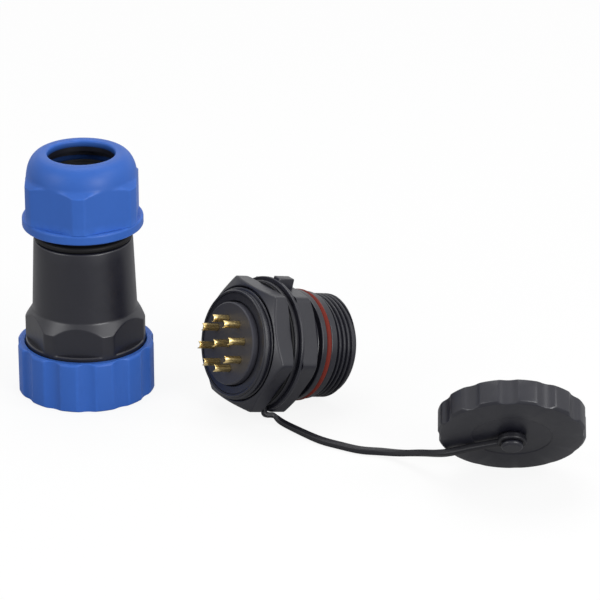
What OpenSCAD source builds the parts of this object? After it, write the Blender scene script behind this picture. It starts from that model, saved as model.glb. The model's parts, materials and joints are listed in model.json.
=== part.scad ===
// Sealed circular connector: a cable plug, a panel receptacle and its tethered dust cap.
// The plug stands on its coupling ring with its axis on Z and the floor at Z = 0.
// The receptacle lies beside it on its front rim and on the root of the cap strap.
// Lengths are millimetres and angles are degrees.

/* [Coupling] */
// Major diameter of the coupling thread on receptacle, ring and cap
thread_d = 29; // [28:0.5:31]
// Wall of the receptacle tube under the coupling thread
socket_wall = 2; // [1.6:0.1:2.6]
// Radial room between the plug nose and the receptacle socket
nose_clearance = 0.25; // [0.15:0.05:0.4]
// Radial room of a threaded pair, at the major diameter
thread_clearance = 0.1; // [0.05:0.01:0.2]
// Radial and axial room of a piece that turns or slides
running_clearance = 0.2; // [0.15:0.05:0.3]
// Room of a piece that is pressed or clamped in its seat
seat_clearance = 0.05; // [0.03:0.01:0.1]

/* [Coupling ring] */
// Wall of the ring round the collar of the plug
ring_wall = 2.2; // [1.8:0.05:3]
// Depth of the plain mouth that takes the seal ring
mouth_h = 4.4; // [3.5:0.1:6]
// Length of the ring's thread
ring_thread_h = 4.4; // [3.5:0.1:6]
// Thickness of the inner lip that holds the ring on the plug
lip_h = 1.4; // [1:0.1:2]
// Depth to which the collar sinks into the ring
collar_seat_h = 4.2; // [3.5:0.1:6]
// Number of grip flutes, on the ring and on the cap
flute_count = 12; // [8:1:16]
// Width of a flute
flute_angle = 15; // [10:1:18]
// Depth of a flute
flute_depth = 0.85; // [0.5:0.05:1.2]
// Radius of the ring's top edge
ring_round = 1.3; // [0.6:0.1:1.5]
// Chamfer of grip edges
grip_chamfer = 0.7; // [0.3:0.1:1]

/* [Plug body] */
// Difference in diameter between the gland nut's flange and the collar above the coupling ring
collar_step = 0.1; // [0:0.1:2]
// Width across the collar's wrench flats
collar_flats = 30.6; // [30:0.1:31.6]
// Height of the round band between ring and flats
band_h = 1; // [0.6:0.1:2]
// Height of the flats up to the collar's cone
flats_h = 5.8; // [4:0.1:8]
// Height of the cone on top of the collar
collar_cone_h = 3.4; // [2.5:0.1:5]
// Diameter at the foot of the tapered body
body_base_d = 29.24; // [28.8:0.02:30]
// Diameter at the head of the tapered body
body_head_d = 27.6; // [27.2:0.1:28.6]
// Length of the tapered body
body_taper_h = 20.5; // [16:0.5:30]
// Height at which the nose stands back from the ring's mouth
nose_setback = 1; // [0.6:0.1:2]
// Thickness of the flange that carries the ring's lip
shell_flange_h = 1.6; // [1.2:0.1:2.2]
// Wall of the plug nose round the insert
nose_wall = 1.1; // [0.9:0.05:1.4]
// Length of the neck inside the back shell
neck_h = 12.4; // [11:0.1:15]
// Height of the nose's ledge in front of the insert
insert_ledge_h = 0.8; // [0.6:0.1:1.5]
// Height of the insert
insert_h = 12.1; // [11:0.1:13]
// Height of the ring that holds the insert
retainer_h = 2.2; // [1.6:0.1:3]
// Thickness of the flat gaskets
gasket_h = 0.8; // [0.6:0.1:1]

/* [Gland] */
// Major diameter of the gland thread
gland_thread_d = 26.4; // [26:0.1:26.8]
// Length of the gland thread with its relief
gland_thread_h = 14.9; // [13:0.1:18]
// Cord of the ring seal under the gland nut
gland_ring_cord = 1.86; // [1.4:0.02:2.2]
// Gap from the body to the backed-off gland nut
nut_gap = 3.8; // [3.6:0.1:5]
// Height of the gland nut
gland_h = 21; // [20:0.5:26]
// Width across the gland nut's flats
gland_flats = 31; // [30.4:0.1:32]
// Diameter over the rounded corners and the flange
gland_flange_d = 33.6; // [33:0.1:35]
// Height of the flange
gland_flange_h = 2.9; // [2:0.1:4]
// Height of the flats over the flange
gland_flats_h = 10.6; // [8:0.1:12]
// Height of the dome
dome_h = 6.9; // [5:0.1:8]
// Width of the dome's curve, seen from above
dome_w = 4.2; // [3:0.1:5]
// Diameter of the cable hole
gland_hole_d = 18.8; // [17:0.2:20]
// Thickness of the rim round the cable hole
gland_rim_h = 1.9; // [1.5:0.1:2.5]
// Thickness of the thrust washer
washer_h = 1.3; // [0.8:0.1:2]
// Depth of the thrust washer's skirt
washer_skirt_h = 1.8; // [1:0.1:2.4]
// Room between washer and seal before the nut is tightened
tighten_room = 2.1; // [1.9:0.1:2.6]
// Diameter of the cable bore in the seal
cable_d = 10.4; // [9:0.2:12]
// Number of ridges on the seal's face
ridge_count = 4; // [3:1:5]

/* [Contacts] */
// Number of contacts on the circle round the middle one
circle_contacts = 8; // [5:1:8]
// Diameter of the circle of contacts
contact_circle_d = 13.6; // [12:0.2:14]
// Diameter of a solder cup
cup_d = 2.1; // [1.8:0.05:2.4]
// Wall of a solder cup
cup_wall = 0.3; // [0.2:0.02:0.4]
// Length of a solder cup behind its insert
cup_h = 5.2; // [4:0.1:8]
// Height over which one half of a solder cup's wall is cut away
cup_scoop_h = 1; // [0.5:0.1:3]
// Diameter of a mating pin
pin_d = 1.6; // [1.3:0.05:1.8]
// Length of a mating pin
pin_h = 6; // [5:0.1:7]

/* [Receptacle] */
// Width across the flats of the fixed hexagon and of the panel nut
hex_flats = 33.4; // [32:0.2:36]
// Height of the fixed hexagon
hex_h = 5.5; // [4:0.1:8]
// Height of the round flange behind the hexagon
hex_flange_h = 1; // [0.6:0.1:2]
// Height of the hexagon's front chamfer
hex_chamfer_h = 0.9; // [0.5:0.1:1.5]
// Width of the index lug on the hexagon's upper flat
lug_w = 3; // [2:0.1:5]
// Height of the index lug over the flat
lug_h = 2.7; // [1:0.1:3]
// Height of the neck between hexagon and seal ring
seal_neck_h = 3.1; // [2:0.1:5]
// Height of the lip behind the seal ring
seal_lip_h = 1.7; // [1:0.1:2.5]
// Cord of the coupling seal ring
seal_cord = 1.8; // [1.4:0.05:2.2]
// Height of the shoulder in front of the seal ring
shoulder_h = 2.5; // [1.5:0.1:4]
// Length of the coupling thread
coupling_h = 7.2; // [6:0.1:10]
// Diameter of the rear thread that goes through the panel
panel_thread_d = 30.8; // [30:0.1:31.6]
// Height of the panel nut
panel_nut_h = 5.3; // [4:0.1:7]
// Thickness of the panel washer
panel_washer_h = 0.5; // [0.4:0.1:1.2]
// Length of rear thread left behind the panel nut
rear_h = 2.2; // [2:0.1:6]
// Distance by which the contact carrier stands out behind the rear rim
insert_proud = 1.5; // [1:0.1:2.4]
// Depth of the front socket
socket_h = 10.9; // [9:0.1:13]

/* [Cap] */
// Diameter of the dust cap
cap_d = 39.2; // [37:0.1:42]
// Height of the dust cap
cap_h = 7; // [6.4:0.1:9]
// Thickness of the cap's end wall
cap_wall = 1.8; // [1.4:0.1:2.2]
// Diameter of the rivet's head
rivet_head_d = 5.9; // [5:0.1:7]
// Diameter of the rivet's shank
rivet_d = 3; // [2.6:0.1:3.4]
// Thickness of the loop, and of the strap where it leaves the loop
loop_h = 1.4; // [1.2:0.05:1.6]
// Thickness of the strap and its eyelet
strap_h = 1.8; // [1.6:0.05:2]
// Width of the strap
strap_w = 2; // [1.8:0.1:2.6]

/* [Layout] */
// Heading of the receptacle's front, from X towards Y
rec_heading = 35; // [0:1:70]
// Slope at which the receptacle's front points down
rec_tilt = 15; // [13:0.5:16]
// Slope at which the cap's closed face points down
cap_droop = 38.3; // [30:0.1:50]
// Turn of the cap about the vertical
cap_turn = -1.8; // [-20:0.1:20]

/* [Hidden] */
$fn = 96;
overcut = 1;

// Radii of the coupling
thread_r = thread_d / 2;
bore_r = thread_r + thread_clearance;
seal_lip_r = thread_r + 1;
mouth_r = seal_lip_r + running_clearance + 0.1;
socket_r = thread_r - socket_wall;
nose_r = socket_r - nose_clearance;
shell_flange_r = bore_r - 2 * running_clearance;
neck_r = nose_r + 0.7;
lip_r = neck_r + running_clearance + 0.1;
insert_bore_r = nose_r - nose_wall;
insert_r = insert_bore_r - seat_clearance;
key_w = 2.1;
key_depth = 0.7;
keyway_depth = key_depth - nose_clearance + running_clearance + 0.1;
collar_r = (gland_flange_d - collar_step) / 2;
recess_r = collar_r + running_clearance;
ring_r = recess_r + ring_wall;

// Heights of the plug
lip_z = mouth_h + ring_thread_h;
recess_z = lip_z + lip_h;
ring_h = recess_z + collar_seat_h;
collar_z = recess_z + running_clearance;
flats_z = ring_h + band_h;
cone_z = flats_z + flats_h;
taper_z = cone_z + collar_cone_h;
body_top_z = taper_z + body_taper_h;
gland_top_z = body_top_z + gland_thread_h;
flange_top_z = lip_z - running_clearance;
flange_z = flange_top_z - shell_flange_h;
neck_top_z = flange_top_z + neck_h;
insert_z = nose_setback + insert_ledge_h;
insert_top_z = insert_z + insert_h;
joint_z = neck_top_z + gasket_h + 2 * seat_clearance;

// Radii and heights of the gland
gland_thread_r = gland_thread_d / 2;
seal_seat_r = gland_thread_r - 2.4;
seal_r = seal_seat_r - seat_clearance;
wire_r = insert_bore_r;
throat_r = seal_seat_r - 2.3;
relief_h = gland_ring_cord + 2 * seat_clearance;
relief_r = gland_thread_r - 1.35;
seal_seat_z = body_top_z + relief_h + 0.9;
throat_z = seal_seat_z - 4;
nut_z = body_top_z + nut_gap;
nut_bore_r = gland_thread_r + thread_clearance;
gland_hole_r = gland_hole_d / 2;
cavity_r = gland_flats / 2 - 2.8;
skirt_r = cavity_r - running_clearance;
ceiling_z = gland_h - gland_rim_h;
washer_z = nut_z + ceiling_z - seat_clearance - washer_h;
seal_top_z = washer_z - tighten_room;
cable_r = cable_d / 2;
seal_face_r = gland_hole_r - 0.3;

// Radii of the contacts
cup_r = cup_d / 2;
cup_bore_r = cup_r - cup_wall;
contact_hole_r = cup_r + seat_clearance;
pin_r = pin_d / 2;
socket_bore_r = pin_r + seat_clearance;
contacts = circle_contacts + 1;
contact_clock = 22;

// Heights of the receptacle, measured forwards from the front of its hexagon
seal_groove_w = seal_cord + 2 * seat_clearance;
seal_z = seal_neck_h + seal_lip_h;
shoulder_z = seal_z + seal_groove_w;
coupling_z = shoulder_z + shoulder_h;
front_z = coupling_z + coupling_h;
hex_z = -hex_h - hex_flange_h;
loop_z = hex_z - seat_clearance - loop_h;
panel_washer_z = loop_z - running_clearance - panel_washer_h;
panel_nut_z = panel_washer_z - seat_clearance - panel_nut_h;
rear_z = panel_nut_z - rear_h;
face_z = rear_z - insert_proud;
carrier_flange_z = rear_z + 2.4;
rear_ring_h = carrier_flange_z - rear_z - 0.3;
socket_z = front_z - socket_h;
front_chamfer = 0.6;

// Radii of the receptacle
panel_thread_r = panel_thread_d / 2;
panel_bore_r = panel_thread_r + thread_clearance;
hex_r = hex_flats / 2;
hex_corner_r = hex_r / cos(30) - 0.25;
hex_flange_r = hex_r + 2;
seal_mid_r = seal_lip_r + 0.05 - seal_cord / 2;
seal_groove_r = seal_lip_r + 0.05 - seal_cord - seat_clearance;
rear_bore_r = panel_thread_r - 1.5;
face_r = rear_bore_r - 2.5;
pocket_r = socket_r - 1;
plinth_r = pocket_r - seat_clearance;
step_z = rear_z + 3.8;
loop_r = panel_thread_r + 2.2;

// Sizes of the cap
cap_r = cap_d / 2;
cap_boss_r = rivet_d / 2 + 2.5;
cap_boss_z = cap_wall + 1.5;
cap_mouth_h = seal_cord + seat_clearance;
rivet_r = rivet_d / 2;
rivet_hole_r = rivet_r + seat_clearance;
eyelet_gap = 0.3;
eyelet_r = rivet_r + 2.4;
eyelet_bore_r = rivet_r + running_clearance;
head_h = 1.2;
head_z = -eyelet_gap - strap_h - running_clearance;

// Places of the receptacle and of the cap: each just touches the floor
floor_gap = 0.02;
rec_pos = [54.35, -13, thread_r * cos(rec_tilt) + (front_z - front_chamfer) * sin(rec_tilt) + floor_gap];
cap_pos = [115.8, -66.3, cap_r * cos(cap_droop) - grip_chamfer * sin(cap_droop) + floor_gap];

// Angles at which the grips and flats are seen, from the X axis
ring_clock = -86.5;
cap_clock = -94.5;
collar_clock = -94.5;

BLUE = [0.22, 0.37, 0.70];
BLACK = [0.17, 0.17, 0.19];
RUBBER = [0.09, 0.09, 0.10];
RED = [0.62, 0.28, 0.26];
GOLD = [0.80, 0.64, 0.30];
STEEL = [0.62, 0.63, 0.65];

// Points of an elliptic arc
function arc(centre, rx, ry, from, to, steps) =
    [for (i = [0 : steps]) let (a = from + (to - from) * i / steps) centre + [rx * cos(a), ry * sin(a)]];

// Turns of a point about the X, Y and Z axes
function turned_x(p, a) = [p.x, p.y * cos(a) - p.z * sin(a), p.y * sin(a) + p.z * cos(a)];
function turned_y(p, a) = [p.x * cos(a) + p.z * sin(a), p.y, p.z * cos(a) - p.x * sin(a)];
function turned_z(p, a) = [p.x * cos(a) - p.y * sin(a), p.x * sin(a) + p.y * cos(a), p.z];

// Where a point of the receptacle's or the cap's own frame lies in the part
function from_receptacle(p) = rec_pos + turned_z(turned_y(p, 90 + rec_tilt), rec_heading);
function from_cap(p) = cap_pos + turned_z(turned_x(p, cap_droop - 90), cap_turn);

// Place of contact i: the last one is in the middle
function contact_place(i) = i > circle_contacts ? [0, 0, 0] :
    turned_z([contact_circle_d / 2, 0, 0], contact_clock + 360 / circle_contacts * i);
function contact_turn(i) = contact_clock + (i > circle_contacts ? 0 : 360 / circle_contacts * i);

module at_receptacle() translate(rec_pos) rotate([0, 90 + rec_tilt, rec_heading]) children();
module at_cap() translate(cap_pos) rotate([cap_droop - 90, 0, cap_turn]) children();

module revolved(profile) rotate_extrude() polygon(profile);

module sleeve(inner, outer, h) rotate_extrude() translate([inner, 0]) square([outer - inner, h]);

module cord_ring(mid, cord) rotate_extrude() translate([mid, 0]) circle(d = cord, $fn = 48);

module hexagon(flats, h) rotate(30) cylinder(r = flats / 2 / cos(30), h = h, $fn = 6);

// Cutters for the grip flutes of a ring or a cap
module flutes(r, h, clock) {
    chord = 2 * r * sin(flute_angle / 2);
    sag = flute_depth - r * (1 - cos(flute_angle / 2));
    cut_r = chord * chord / (8 * sag) + sag / 2;
    for (i = [0 : flute_count - 1])
        rotate(clock + 360 / flute_count * i)
            translate([r - flute_depth + cut_r, 0, -overcut]) cylinder(r = cut_r, h = h + 2 * overcut);
}

module contact_holes(z, h) {
    for (i = [1 : contacts])
        translate(contact_place(i) + [0, 0, z]) cylinder(r = contact_hole_r, h = h, $fn = 32);
}

// Bore and open side of a solder cup that ends at z = 0 and reaches up
module cup_cut(depth, open_h) {
    translate([0, 0, -overcut]) cylinder(r = cup_bore_r, h = depth + overcut, $fn = 32);
    translate([0, -cup_r - overcut, -overcut]) cube([cup_r + overcut, 2 * (cup_r + overcut), open_h + overcut]);
}

module coupling_ring() color(BLUE) difference() {
    revolved(concat(
        [[mouth_r + 0.3, 0], [ring_r - grip_chamfer, 0], [ring_r, grip_chamfer]],
        arc([ring_r - ring_round, ring_h - ring_round], ring_round, ring_round, 0, 90, 8),
        [[recess_r + 0.3, ring_h], [recess_r, ring_h - 0.3], [recess_r, recess_z], [lip_r, recess_z],
         [lip_r, lip_z], [bore_r, lip_z], [bore_r, mouth_h], [mouth_r, mouth_h - (mouth_r - bore_r) / 2],
         [mouth_r, 0.3]]));
    flutes(ring_r, ring_h, ring_clock);
}

module plug_shell() color(BLACK) difference() {
    revolved([
        [insert_bore_r - 0.8, nose_setback], [nose_r - 0.4, nose_setback], [nose_r, nose_setback + 0.4],
        [nose_r, flange_z], [shell_flange_r, flange_z], [shell_flange_r, flange_top_z],
        [neck_r, flange_top_z], [neck_r, neck_top_z - 0.4], [neck_r - 0.4, neck_top_z],
        [insert_bore_r, neck_top_z], [insert_bore_r, insert_z - seat_clearance],
        [insert_bore_r - 0.8, insert_z - seat_clearance]]);
    // Keyway that lines the plug up with the receptacle
    translate([-nose_r - overcut, -key_w / 2 - running_clearance, nose_setback - overcut])
        cube([overcut + keyway_depth, key_w + 2 * running_clearance, flange_z - nose_setback - 1 + overcut]);
}

module plug_insert() color(RUBBER) difference() {
    revolved([
        [0, insert_z], [insert_r - 0.4, insert_z], [insert_r, insert_z + 0.4], [insert_r, insert_top_z],
        [0, insert_top_z]]);
    contact_holes(insert_z - overcut, insert_top_z - insert_z + 2 * overcut);
}

module plug_retainer() color(STEEL) translate([0, 0, insert_top_z + seat_clearance]) difference() {
    sleeve(insert_r - 1.5, insert_r, retainer_h);
    // Two spanner slots
    for (a = [0, 180])
        rotate(a) translate([insert_r - 1.5 - overcut, -0.9, retainer_h - 1])
            cube([1.5 + 2 * overcut, 1.8, 1 + overcut]);
}

module face_gasket() color(RUBBER)
    translate([0, 0, flange_z - seat_clearance - gasket_h])
        sleeve(nose_r + seat_clearance, shell_flange_r, gasket_h);

module joint_gasket() color(RUBBER)
    translate([0, 0, neck_top_z + seat_clearance])
        sleeve(insert_bore_r, neck_r, gasket_h);

module back_shell() color(BLACK) difference() {
    revolved([
        [0, collar_z], [collar_r, collar_z], [collar_r, cone_z], [body_base_d / 2, taper_z],
        [body_head_d / 2, body_top_z - 0.5], [body_head_d / 2 - 0.5, body_top_z], [relief_r, body_top_z],
        [relief_r, body_top_z + relief_h], [gland_thread_r - 0.6, body_top_z + relief_h],
        [gland_thread_r, body_top_z + relief_h + 0.6], [gland_thread_r, gland_top_z - 0.8],
        [gland_thread_r - 0.8, gland_top_z], [0, gland_top_z]]);
    // Bore for the neck, space for the wires, throat and seat of the cable seal
    revolved([
        [0, collar_z - overcut], [neck_r + thread_clearance, collar_z - overcut],
        [neck_r + thread_clearance, joint_z], [wire_r, joint_z], [wire_r, throat_z - (wire_r - throat_r)],
        [throat_r, throat_z], [throat_r, seal_seat_z], [seal_seat_r, seal_seat_z],
        [seal_seat_r, gland_top_z + overcut], [0, gland_top_z + overcut]]);
    // Six wrench flats that run out into the collar's cone
    for (i = [0 : 5])
        rotate(collar_clock + 60 * i) translate([collar_flats / 2, -collar_r, flats_z])
            cube([collar_r, 2 * collar_r, flats_h + collar_cone_h]);
}

module gland_o_ring() color(RUBBER)
    translate([0, 0, body_top_z + relief_h / 2])
        cord_ring(relief_r + seat_clearance + gland_ring_cord / 2, gland_ring_cord);

module cable_seal() color(RUBBER) {
    step = (seal_face_r - cable_r) / (ridge_count + 1);
    revolved(concat(
        [[cable_r, seal_seat_z + seat_clearance], [seal_r, seal_seat_z + seat_clearance],
         [seal_r, gland_top_z], [seal_face_r, seal_top_z]],
        [for (i = [1 : ridge_count], top = [0, 1])
            [seal_face_r - step * i, seal_top_z - step * (i - 1 + top)]],
        [[cable_r, seal_top_z - step * ridge_count]]));
}

module thrust_washer() color(BLACK)
    translate([0, 0, washer_z]) revolved([
        [gland_hole_r + 0.2, 0], [skirt_r - 0.9, 0], [skirt_r - 0.9, -washer_skirt_h], [skirt_r, -washer_skirt_h],
        [skirt_r, washer_h], [gland_hole_r + 0.2, washer_h]]);

module gland_nut() color(BLUE) translate([0, 0, nut_z]) difference() {
    flats_top = gland_flange_h + gland_flats_h;
    corner_r = gland_flange_d / 2;
    round_r = gland_flats / 2;
    dome_z = gland_h - dome_h;
    union() {
        revolved(concat(
            [[0, 0], [corner_r - 0.5, 0], [corner_r, 0.5], [corner_r, gland_flange_h - 0.5],
             [corner_r - 0.5, gland_flange_h], [round_r, gland_flange_h]],
            arc([round_r - dome_w, dome_z], dome_w, dome_h, 0, 90, 20),
            [[0, gland_h]]));
        // Rounded hexagon with chamfered corner tops
        intersection() {
            hexagon(gland_flats, gland_h);
            revolved([
                [0, gland_flange_h / 2], [corner_r, gland_flange_h / 2], [corner_r, flats_top],
                [round_r - 0.1, flats_top + corner_r - round_r + 0.1], [0, flats_top + corner_r - round_r + 0.1]]);
        }
    }
    // Thread bore, washer space and cable hole with a rounded rim
    revolved(concat(
        [[0, -overcut], [nut_bore_r + 0.6 + overcut, -overcut], [nut_bore_r, 0.6], [nut_bore_r, flats_top],
         [cavity_r, flats_top], [cavity_r, ceiling_z], [gland_hole_r, ceiling_z]],
        arc([gland_hole_r + 0.6, gland_h - 0.6], 0.6, 0.6, 180, 90, 6),
        [[gland_hole_r + 0.6, gland_h + overcut], [0, gland_h + overcut]]));
}

module socket_contact(i) color(GOLD) translate(contact_place(i)) rotate(contact_turn(i)) difference() {
    translate([0, 0, insert_z + 0.6]) cylinder(r = cup_r, h = insert_top_z + cup_h - insert_z - 0.6, $fn = 32);
    translate([0, 0, insert_z]) cylinder(r = socket_bore_r, h = pin_h + 1, $fn = 32);
    translate([0, 0, insert_top_z + cup_h]) mirror([0, 0, 1]) cup_cut(0.65 * cup_h, cup_scoop_h);
}

module receptacle_body() {
    revolved([
        [0, rear_z], [panel_thread_r - 0.5, rear_z], [panel_thread_r, rear_z + 0.5],
        [panel_thread_r, hex_z], [hex_flange_r, hex_z], [hex_flange_r, hex_z + hex_flange_h],
        [hex_r - 1, hex_z + hex_flange_h], [hex_r - 1, 0], [seal_groove_r, 0], [seal_groove_r, seal_neck_h],
        [seal_lip_r - 0.2, seal_neck_h], [seal_lip_r, seal_neck_h + 0.2], [seal_lip_r, seal_z],
        [seal_groove_r, seal_z], [seal_groove_r, shoulder_z], [thread_r + 0.5, shoulder_z],
        [thread_r + 0.5, coupling_z - 0.5], [thread_r, coupling_z], [thread_r, front_z - front_chamfer],
        [thread_r - front_chamfer, front_z], [0, front_z]]);
    // Fixed hexagon, chamfered at the front
    intersection() {
        translate([0, 0, hex_z + hex_flange_h / 2]) hexagon(hex_flats, -hex_z - hex_flange_h / 2);
        revolved([
            [0, hex_z], [hex_corner_r, hex_z], [hex_corner_r, -hex_chamfer_h], [hex_corner_r - 1.5, 0], [0, 0]]);
    }
    // Index lug in line with the key
    translate([-hex_r - lug_h, -lug_w / 2, hex_z + hex_flange_h / 2])
        cube([lug_h + 1, lug_w, hex_h + hex_flange_h / 2 - hex_chamfer_h]);
}

module receptacle_shell() color(BLACK) at_receptacle() {
    difference() {
        receptacle_body();
        // Rear bore with the insert's step, pocket and front socket
        revolved([
            [0, rear_z - overcut], [rear_bore_r, rear_z - overcut], [rear_bore_r, step_z + gasket_h],
            [pocket_r, step_z + gasket_h], [pocket_r, socket_z], [socket_r, socket_z],
            [socket_r, front_z - 0.5], [socket_r + 0.5, front_z], [socket_r + 0.5, front_z + overcut],
            [0, front_z + overcut]]);
    }
    // Key that fits the plug's keyway
    translate([-socket_r - socket_wall / 4, -key_w / 2, socket_z - overcut / 2])
        cube([socket_wall / 4 + key_depth, key_w, socket_h - 1.2 + overcut / 2]);
}

module receptacle_insert() color(RUBBER) at_receptacle() difference() {
    revolved([
        [0, face_z], [face_r - 0.3, face_z], [face_r, face_z + 0.3], [face_r, carrier_flange_z],
        [rear_bore_r - seat_clearance, carrier_flange_z], [rear_bore_r - seat_clearance, step_z - seat_clearance],
        [plinth_r, step_z - seat_clearance], [plinth_r, socket_z], [0, socket_z]]);
    contact_holes(face_z - overcut, socket_z - face_z + 2 * overcut);
}

module receptacle_retainer() color(BLACK) at_receptacle() translate([0, 0, rear_z + 0.2])
    revolved([
        [face_r + running_clearance, 0.3], [face_r + running_clearance + 0.3, 0],
        [rear_bore_r - thread_clearance, 0], [rear_bore_r - thread_clearance, rear_ring_h],
        [face_r + running_clearance, rear_ring_h]]);

module insert_gasket() color(RUBBER) at_receptacle() translate([0, 0, step_z])
    sleeve(pocket_r + 0.1, rear_bore_r - seat_clearance, gasket_h - seat_clearance);

module coupling_o_ring() color(RED) at_receptacle() translate([0, 0, seal_z + seal_groove_w / 2])
    cord_ring(seal_mid_r, seal_cord);

module panel_washer() color(BLACK) at_receptacle() translate([0, 0, panel_washer_z])
    sleeve(panel_bore_r + thread_clearance, hex_r + 0.6, panel_washer_h);

module panel_nut() color(BLACK) at_receptacle() translate([0, 0, panel_nut_z]) difference() {
    intersection() {
        hexagon(hex_flats, panel_nut_h);
        // Wide rear chamfer and a narrow front one
        revolved([
            [0, 0], [hex_r - 0.6, 0], [hex_corner_r + 0.1, (hex_corner_r + 0.7 - hex_r) / 2],
            [hex_corner_r + 0.1, panel_nut_h - 0.3], [hex_corner_r - 0.4, panel_nut_h], [0, panel_nut_h]]);
    }
    translate([0, 0, -overcut]) cylinder(r = panel_bore_r, h = panel_nut_h + 2 * overcut);
}

module pin_contact(i) color(GOLD) at_receptacle() translate(contact_place(i)) rotate(contact_turn(i)) {
    difference() {
        translate([0, 0, face_z - cup_h]) cylinder(r = cup_r, h = socket_z - face_z + cup_h - 0.4, $fn = 32);
        translate([0, 0, face_z - cup_h]) cup_cut(0.65 * cup_h, cup_scoop_h);
    }
    translate([0, 0, socket_z - 0.4]) cylinder(r = pin_r, h = pin_h + 0.4 - pin_r, $fn = 32);
    translate([0, 0, socket_z + pin_h - pin_r]) sphere(r = pin_r, $fn = 32);
}

// Route of the strap: out of the loop, round the flange, over the floor and along the cap's face
loop_mid_z = loop_z + loop_h / 2;
root_turn = -28;
root_depth = 1.2;
strap_mid_z = -eyelet_gap - strap_h / 2;
function by_loop(r, turn, ahead) = from_receptacle([r * cos(turn), r * sin(turn), loop_mid_z + ahead]);
strap_route = [
    by_loop(loop_r - root_depth, root_turn, 0), by_loop(hex_flange_r - 0.4, root_turn, 0),
    by_loop(hex_flange_r + 0.7, root_turn - 0.5, 0.05), by_loop(hex_flange_r + 1.1, root_turn - 1, 1.05),
    by_loop(hex_flange_r + 1.35, root_turn - 2, 2.8), [55.2, -27.8, 1.2],
    [60.2, -33.5, 1.1], [65.6, -39, 1.1], [71, -42.5, 1.1], [76.4, -45.3, 1.1], [81.8, -46.7, 1.3],
    [87, -49.9, 2.4], [92.2, -54.9, 4.8],
    from_cap([-17.6, 7.8, strap_mid_z]), from_cap([-10.4, 4.3, strap_mid_z]), from_cap([-2.6, 0.8, strap_mid_z])];
// Direction that the strap's upper side faces at each point of the route
loop_side = from_receptacle([0, 0, 1]) - rec_pos;
flange_side = from_receptacle([-cos(root_turn - 1), -sin(root_turn - 1), 0]) - rec_pos;
cap_side = from_cap([0, 0, 1]) - cap_pos;
strap_sides = concat(
    [loop_side, loop_side, loop_side + 0.4 * flange_side, loop_side + 2 * flange_side, flange_side],
    [for (i = [1 : 6]) [0, 0, 1]], [[0, 0.3, 1], [0, 0.6, 0.8]], [for (i = [1 : 3]) cap_side]);
strap_steps = 4;
strap_last = len(strap_route) - 1;
// Points of the route between which the strap grows from the loop's thickness to its own
thin_to = 4;
full_from = 7;

function unit(v) = v / norm(v);
function held(i) = max(0, min(strap_last, i));
// Smooth curve through the points of a list, at position i + t
function curve_at(points, i, t) =
    let (a = points[held(i - 1)], b = points[held(i)], c = points[held(i + 1)], d = points[held(i + 2)])
    0.5 * (2 * b + (c - a) * t + (2 * a - 5 * b + 4 * c - d) * t * t + (3 * b - a - 3 * c + d) * t * t * t);

strap_line = concat(
    [for (i = [0 : strap_last - 1], s = [0 : strap_steps - 1]) curve_at(strap_route, i, s / strap_steps)],
    [strap_route[strap_last]]);
strap_ups = concat(
    [for (i = [0 : strap_last - 1], s = [0 : strap_steps - 1])
        unit(strap_sides[i] * (1 - s / strap_steps) + strap_sides[i + 1] * s / strap_steps)],
    [unit(strap_sides[strap_last])]);

// Size of the strap's section at a point of its line
function strap_share(k) =
    1 - (1 - loop_h / strap_h) * max(0, min(1, (full_from - k / strap_steps) / (full_from - thin_to)));

// Strap with a chamfered rectangular section, swept along its line
module strap() {
    last = len(strap_line) - 1;
    bevel = 0.35;
    half = [strap_w / 2, strap_h / 2];
    section = [
        [half.x, half.y - bevel], [half.x - bevel, half.y], [bevel - half.x, half.y], [-half.x, half.y - bevel],
        [-half.x, bevel - half.y], [bevel - half.x, -half.y], [half.x - bevel, -half.y], [half.x, bevel - half.y]];
    sides = len(section);
    rings = [for (k = [0 : last])
        let (ahead = unit(strap_line[min(last, k + 1)] - strap_line[max(0, k - 1)]),
             across = unit(cross(ahead, strap_ups[k])),
             up = cross(across, ahead))
        for (p = section) strap_line[k] + strap_share(k) * (across * p.x + up * p.y)];
    walls = [for (k = [0 : last - 1], j = [0 : sides - 1])
        let (a = k * sides + j, b = k * sides + (j + 1) % sides) each [[a, b, b + sides], [a, b + sides, a + sides]]];
    ends = [[for (j = [sides - 1 : -1 : 0]) j], [for (j = [0 : sides - 1]) last * sides + j]];
    polyhedron(points = rings, faces = concat(walls, ends));
}

module cap_tether() color(RUBBER) {
    at_receptacle() translate([0, 0, loop_z]) sleeve(panel_bore_r, loop_r, loop_h);
    strap();
    at_cap() translate([0, 0, -eyelet_gap - strap_h]) sleeve(eyelet_bore_r, eyelet_r, strap_h);
}

module cap_shell() color(BLACK) at_cap() difference() {
    revolved([
        [0, 0], [cap_r - grip_chamfer, 0], [cap_r, grip_chamfer], [cap_r, cap_h - grip_chamfer],
        [cap_r - grip_chamfer, cap_h], [mouth_r, cap_h], [mouth_r, cap_h - cap_mouth_h],
        [bore_r, cap_h - cap_mouth_h - 0.6], [bore_r, cap_wall], [cap_boss_r + 0.3, cap_wall],
        [cap_boss_r, cap_boss_z], [0, cap_boss_z]]);
    flutes(cap_r, cap_h, cap_clock);
    translate([0, 0, -overcut]) cylinder(r = rivet_hole_r, h = cap_boss_z + 2 * overcut);
    // Shallow dish round the rivet
    translate([0, 0, -overcut]) cylinder(r = 10.5, h = overcut + 0.2);
}

module cap_gasket() color(RUBBER) at_cap() translate([0, 0, cap_wall + seat_clearance])
    sleeve(socket_r - 2.5, bore_r - running_clearance, 1);

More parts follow.
